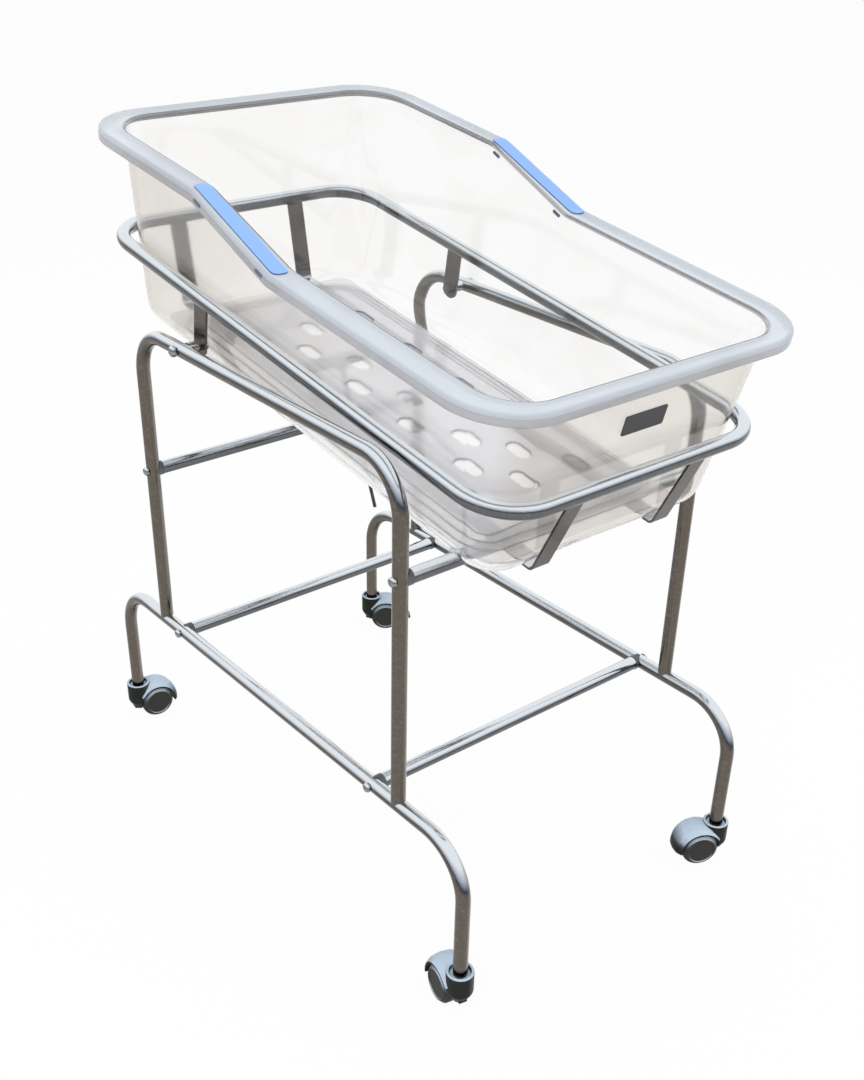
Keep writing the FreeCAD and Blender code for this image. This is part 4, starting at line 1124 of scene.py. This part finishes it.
@dataclass(frozen=True)
class Studio:
    """The floor, the light and the camera."""

    floor_half: float = 14.0
    floor_shade: Colour = (0.93, 0.93, 0.93)
    floor_white: float = 0.95
    sky_shade: Colour = (0.95, 0.97, 1.0)
    sky_strength: float = 0.55
    aim: Point = (0.0, 0.0, 0.55)
    lamps: tuple[Lamp, ...] = (
        Lamp("key", (1.6, -2.2, 3.0), 62.0, 1.8),
        Lamp("fill", (2.4, 2.0, 2.2), 26.0, 2.0),
        Lamp("top", (-0.6, 0.2, 3.4), 34.0, 2.4),
    )
    frame_wide: int = 864
    frame_high: int = 1080
    focal: float = 1338.5
    centre: tuple[float, float] = (424.05, 645.08)
    eye: Point = (1.302, -1.043, 1.281)
    right: Point = (0.6274, 0.7785, 0.0170)
    up: Point = (-0.4193, 0.3194, 0.8498)
    forward: Point = (-0.6562, 0.5403, -0.5268)
    sensor: float = 36.0

    @staticmethod
    def seen(tree: Tree) -> Wire:
        """What tells the rays that see the white surroundings.

        Args:
            tree: The tree of the floor or the world.

        Returns:
            One for a ray from the camera, from gloss or through clear plastic, else nought.
        """
        camera, gloss, through = (
            tree.node("ShaderNodeLightPath", output=f"Is {kind} Ray")
            for kind in ("Camera", "Glossy", "Transmission")
        )
        return camera.most(gloss).most(through)

    def build(self) -> None:
        """Lay the floor and set the light and the camera."""
        self.lay_floor()
        self.light()
        self.look()

    def lay_floor(self) -> None:
        """Lay a plain pale floor that looks white and keeps the object's shadow."""
        half = self.floor_half
        corners = [(-half, -half, 0), (half, -half, 0), (half, half, 0), (-half, half, 0)]
        mesh = bpy.data.meshes.new("floor")
        mesh.from_pydata(corners, [], [(0, 1, 2, 3)])
        floor = bpy.data.objects.new("floor", mesh)
        bpy.context.scene.collection.objects.link(floor)
        made = bpy.data.materials.new("pale_floor")
        tree = Tree(made)
        matte = tree.node("ShaderNodeBsdfDiffuse", None, {"Color": (*self.floor_shade, 1.0)})
        white = tree.node("ShaderNodeEmission", None, {"Color": (1.0, 1.0, 1.0, 1.0), "Strength": 1.0})
        share = self.seen(tree) * self.floor_white
        mixed = tree.node("ShaderNodeMixShader", None, {0: share, 1: matte, 2: white})
        tree.node("ShaderNodeOutputMaterial", None, {"Surface": mixed})
        mesh.materials.append(made)

    def light(self) -> None:
        """Set a pale world that looks white, and hang the lamps."""
        world = bpy.data.worlds.new("studio")
        bpy.context.scene.world = world
        tree = Tree(world)
        sky = {"Color": (*self.sky_shade, 1.0), "Strength": self.sky_strength}
        soft = tree.node("ShaderNodeBackground", None, sky)
        white = tree.node("ShaderNodeBackground", None, {"Color": (1.0, 1.0, 1.0, 1.0), "Strength": 1.0})
        mixed = tree.node("ShaderNodeMixShader", None, {0: self.seen(tree), 1: soft, 2: white})
        tree.node("ShaderNodeOutputWorld", None, {"Surface": mixed})
        for lamp in self.lamps:
            lamp.hang(self.aim)

    def look(self) -> None:
        """Set the camera."""
        lens = bpy.data.cameras.new("camera")
        lens.sensor_width = self.sensor
        lens.lens = self.focal * self.sensor / self.frame_high
        lens.shift_x = (self.frame_wide / 2 - self.centre[0]) / self.frame_high
        lens.shift_y = (self.centre[1] - self.frame_high / 2) / self.frame_high
        eye = bpy.data.objects.new("camera", lens)
        turn = Matrix((self.right, self.up, [-part for part in self.forward])).transposed()
        eye.matrix_world = Matrix.Translation(self.eye) @ turn.to_4x4()
        bpy.context.scene.collection.objects.link(eye)
        bpy.context.scene.camera = eye


def main() -> None:
    """Build the whole scene."""
    logging.basicConfig(level=logging.INFO)
    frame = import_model()
    bpy.context.scene.view_settings.view_transform = "Standard"
    shop = Shop(frame["nodes"])
    braked = (("near", "foot"), ("far", "head"))
    casters = [Caster(side, end, (side, end) in braked) for side in SIDES for end in ENDS]
    for assembly in (Base(), Basket(), Tub(), *casters):
        assembly.build(shop)
        LOG.info("finished %s", type(assembly).__name__.lower())
    Studio().build()


if __name__ == "__main__":
    main()
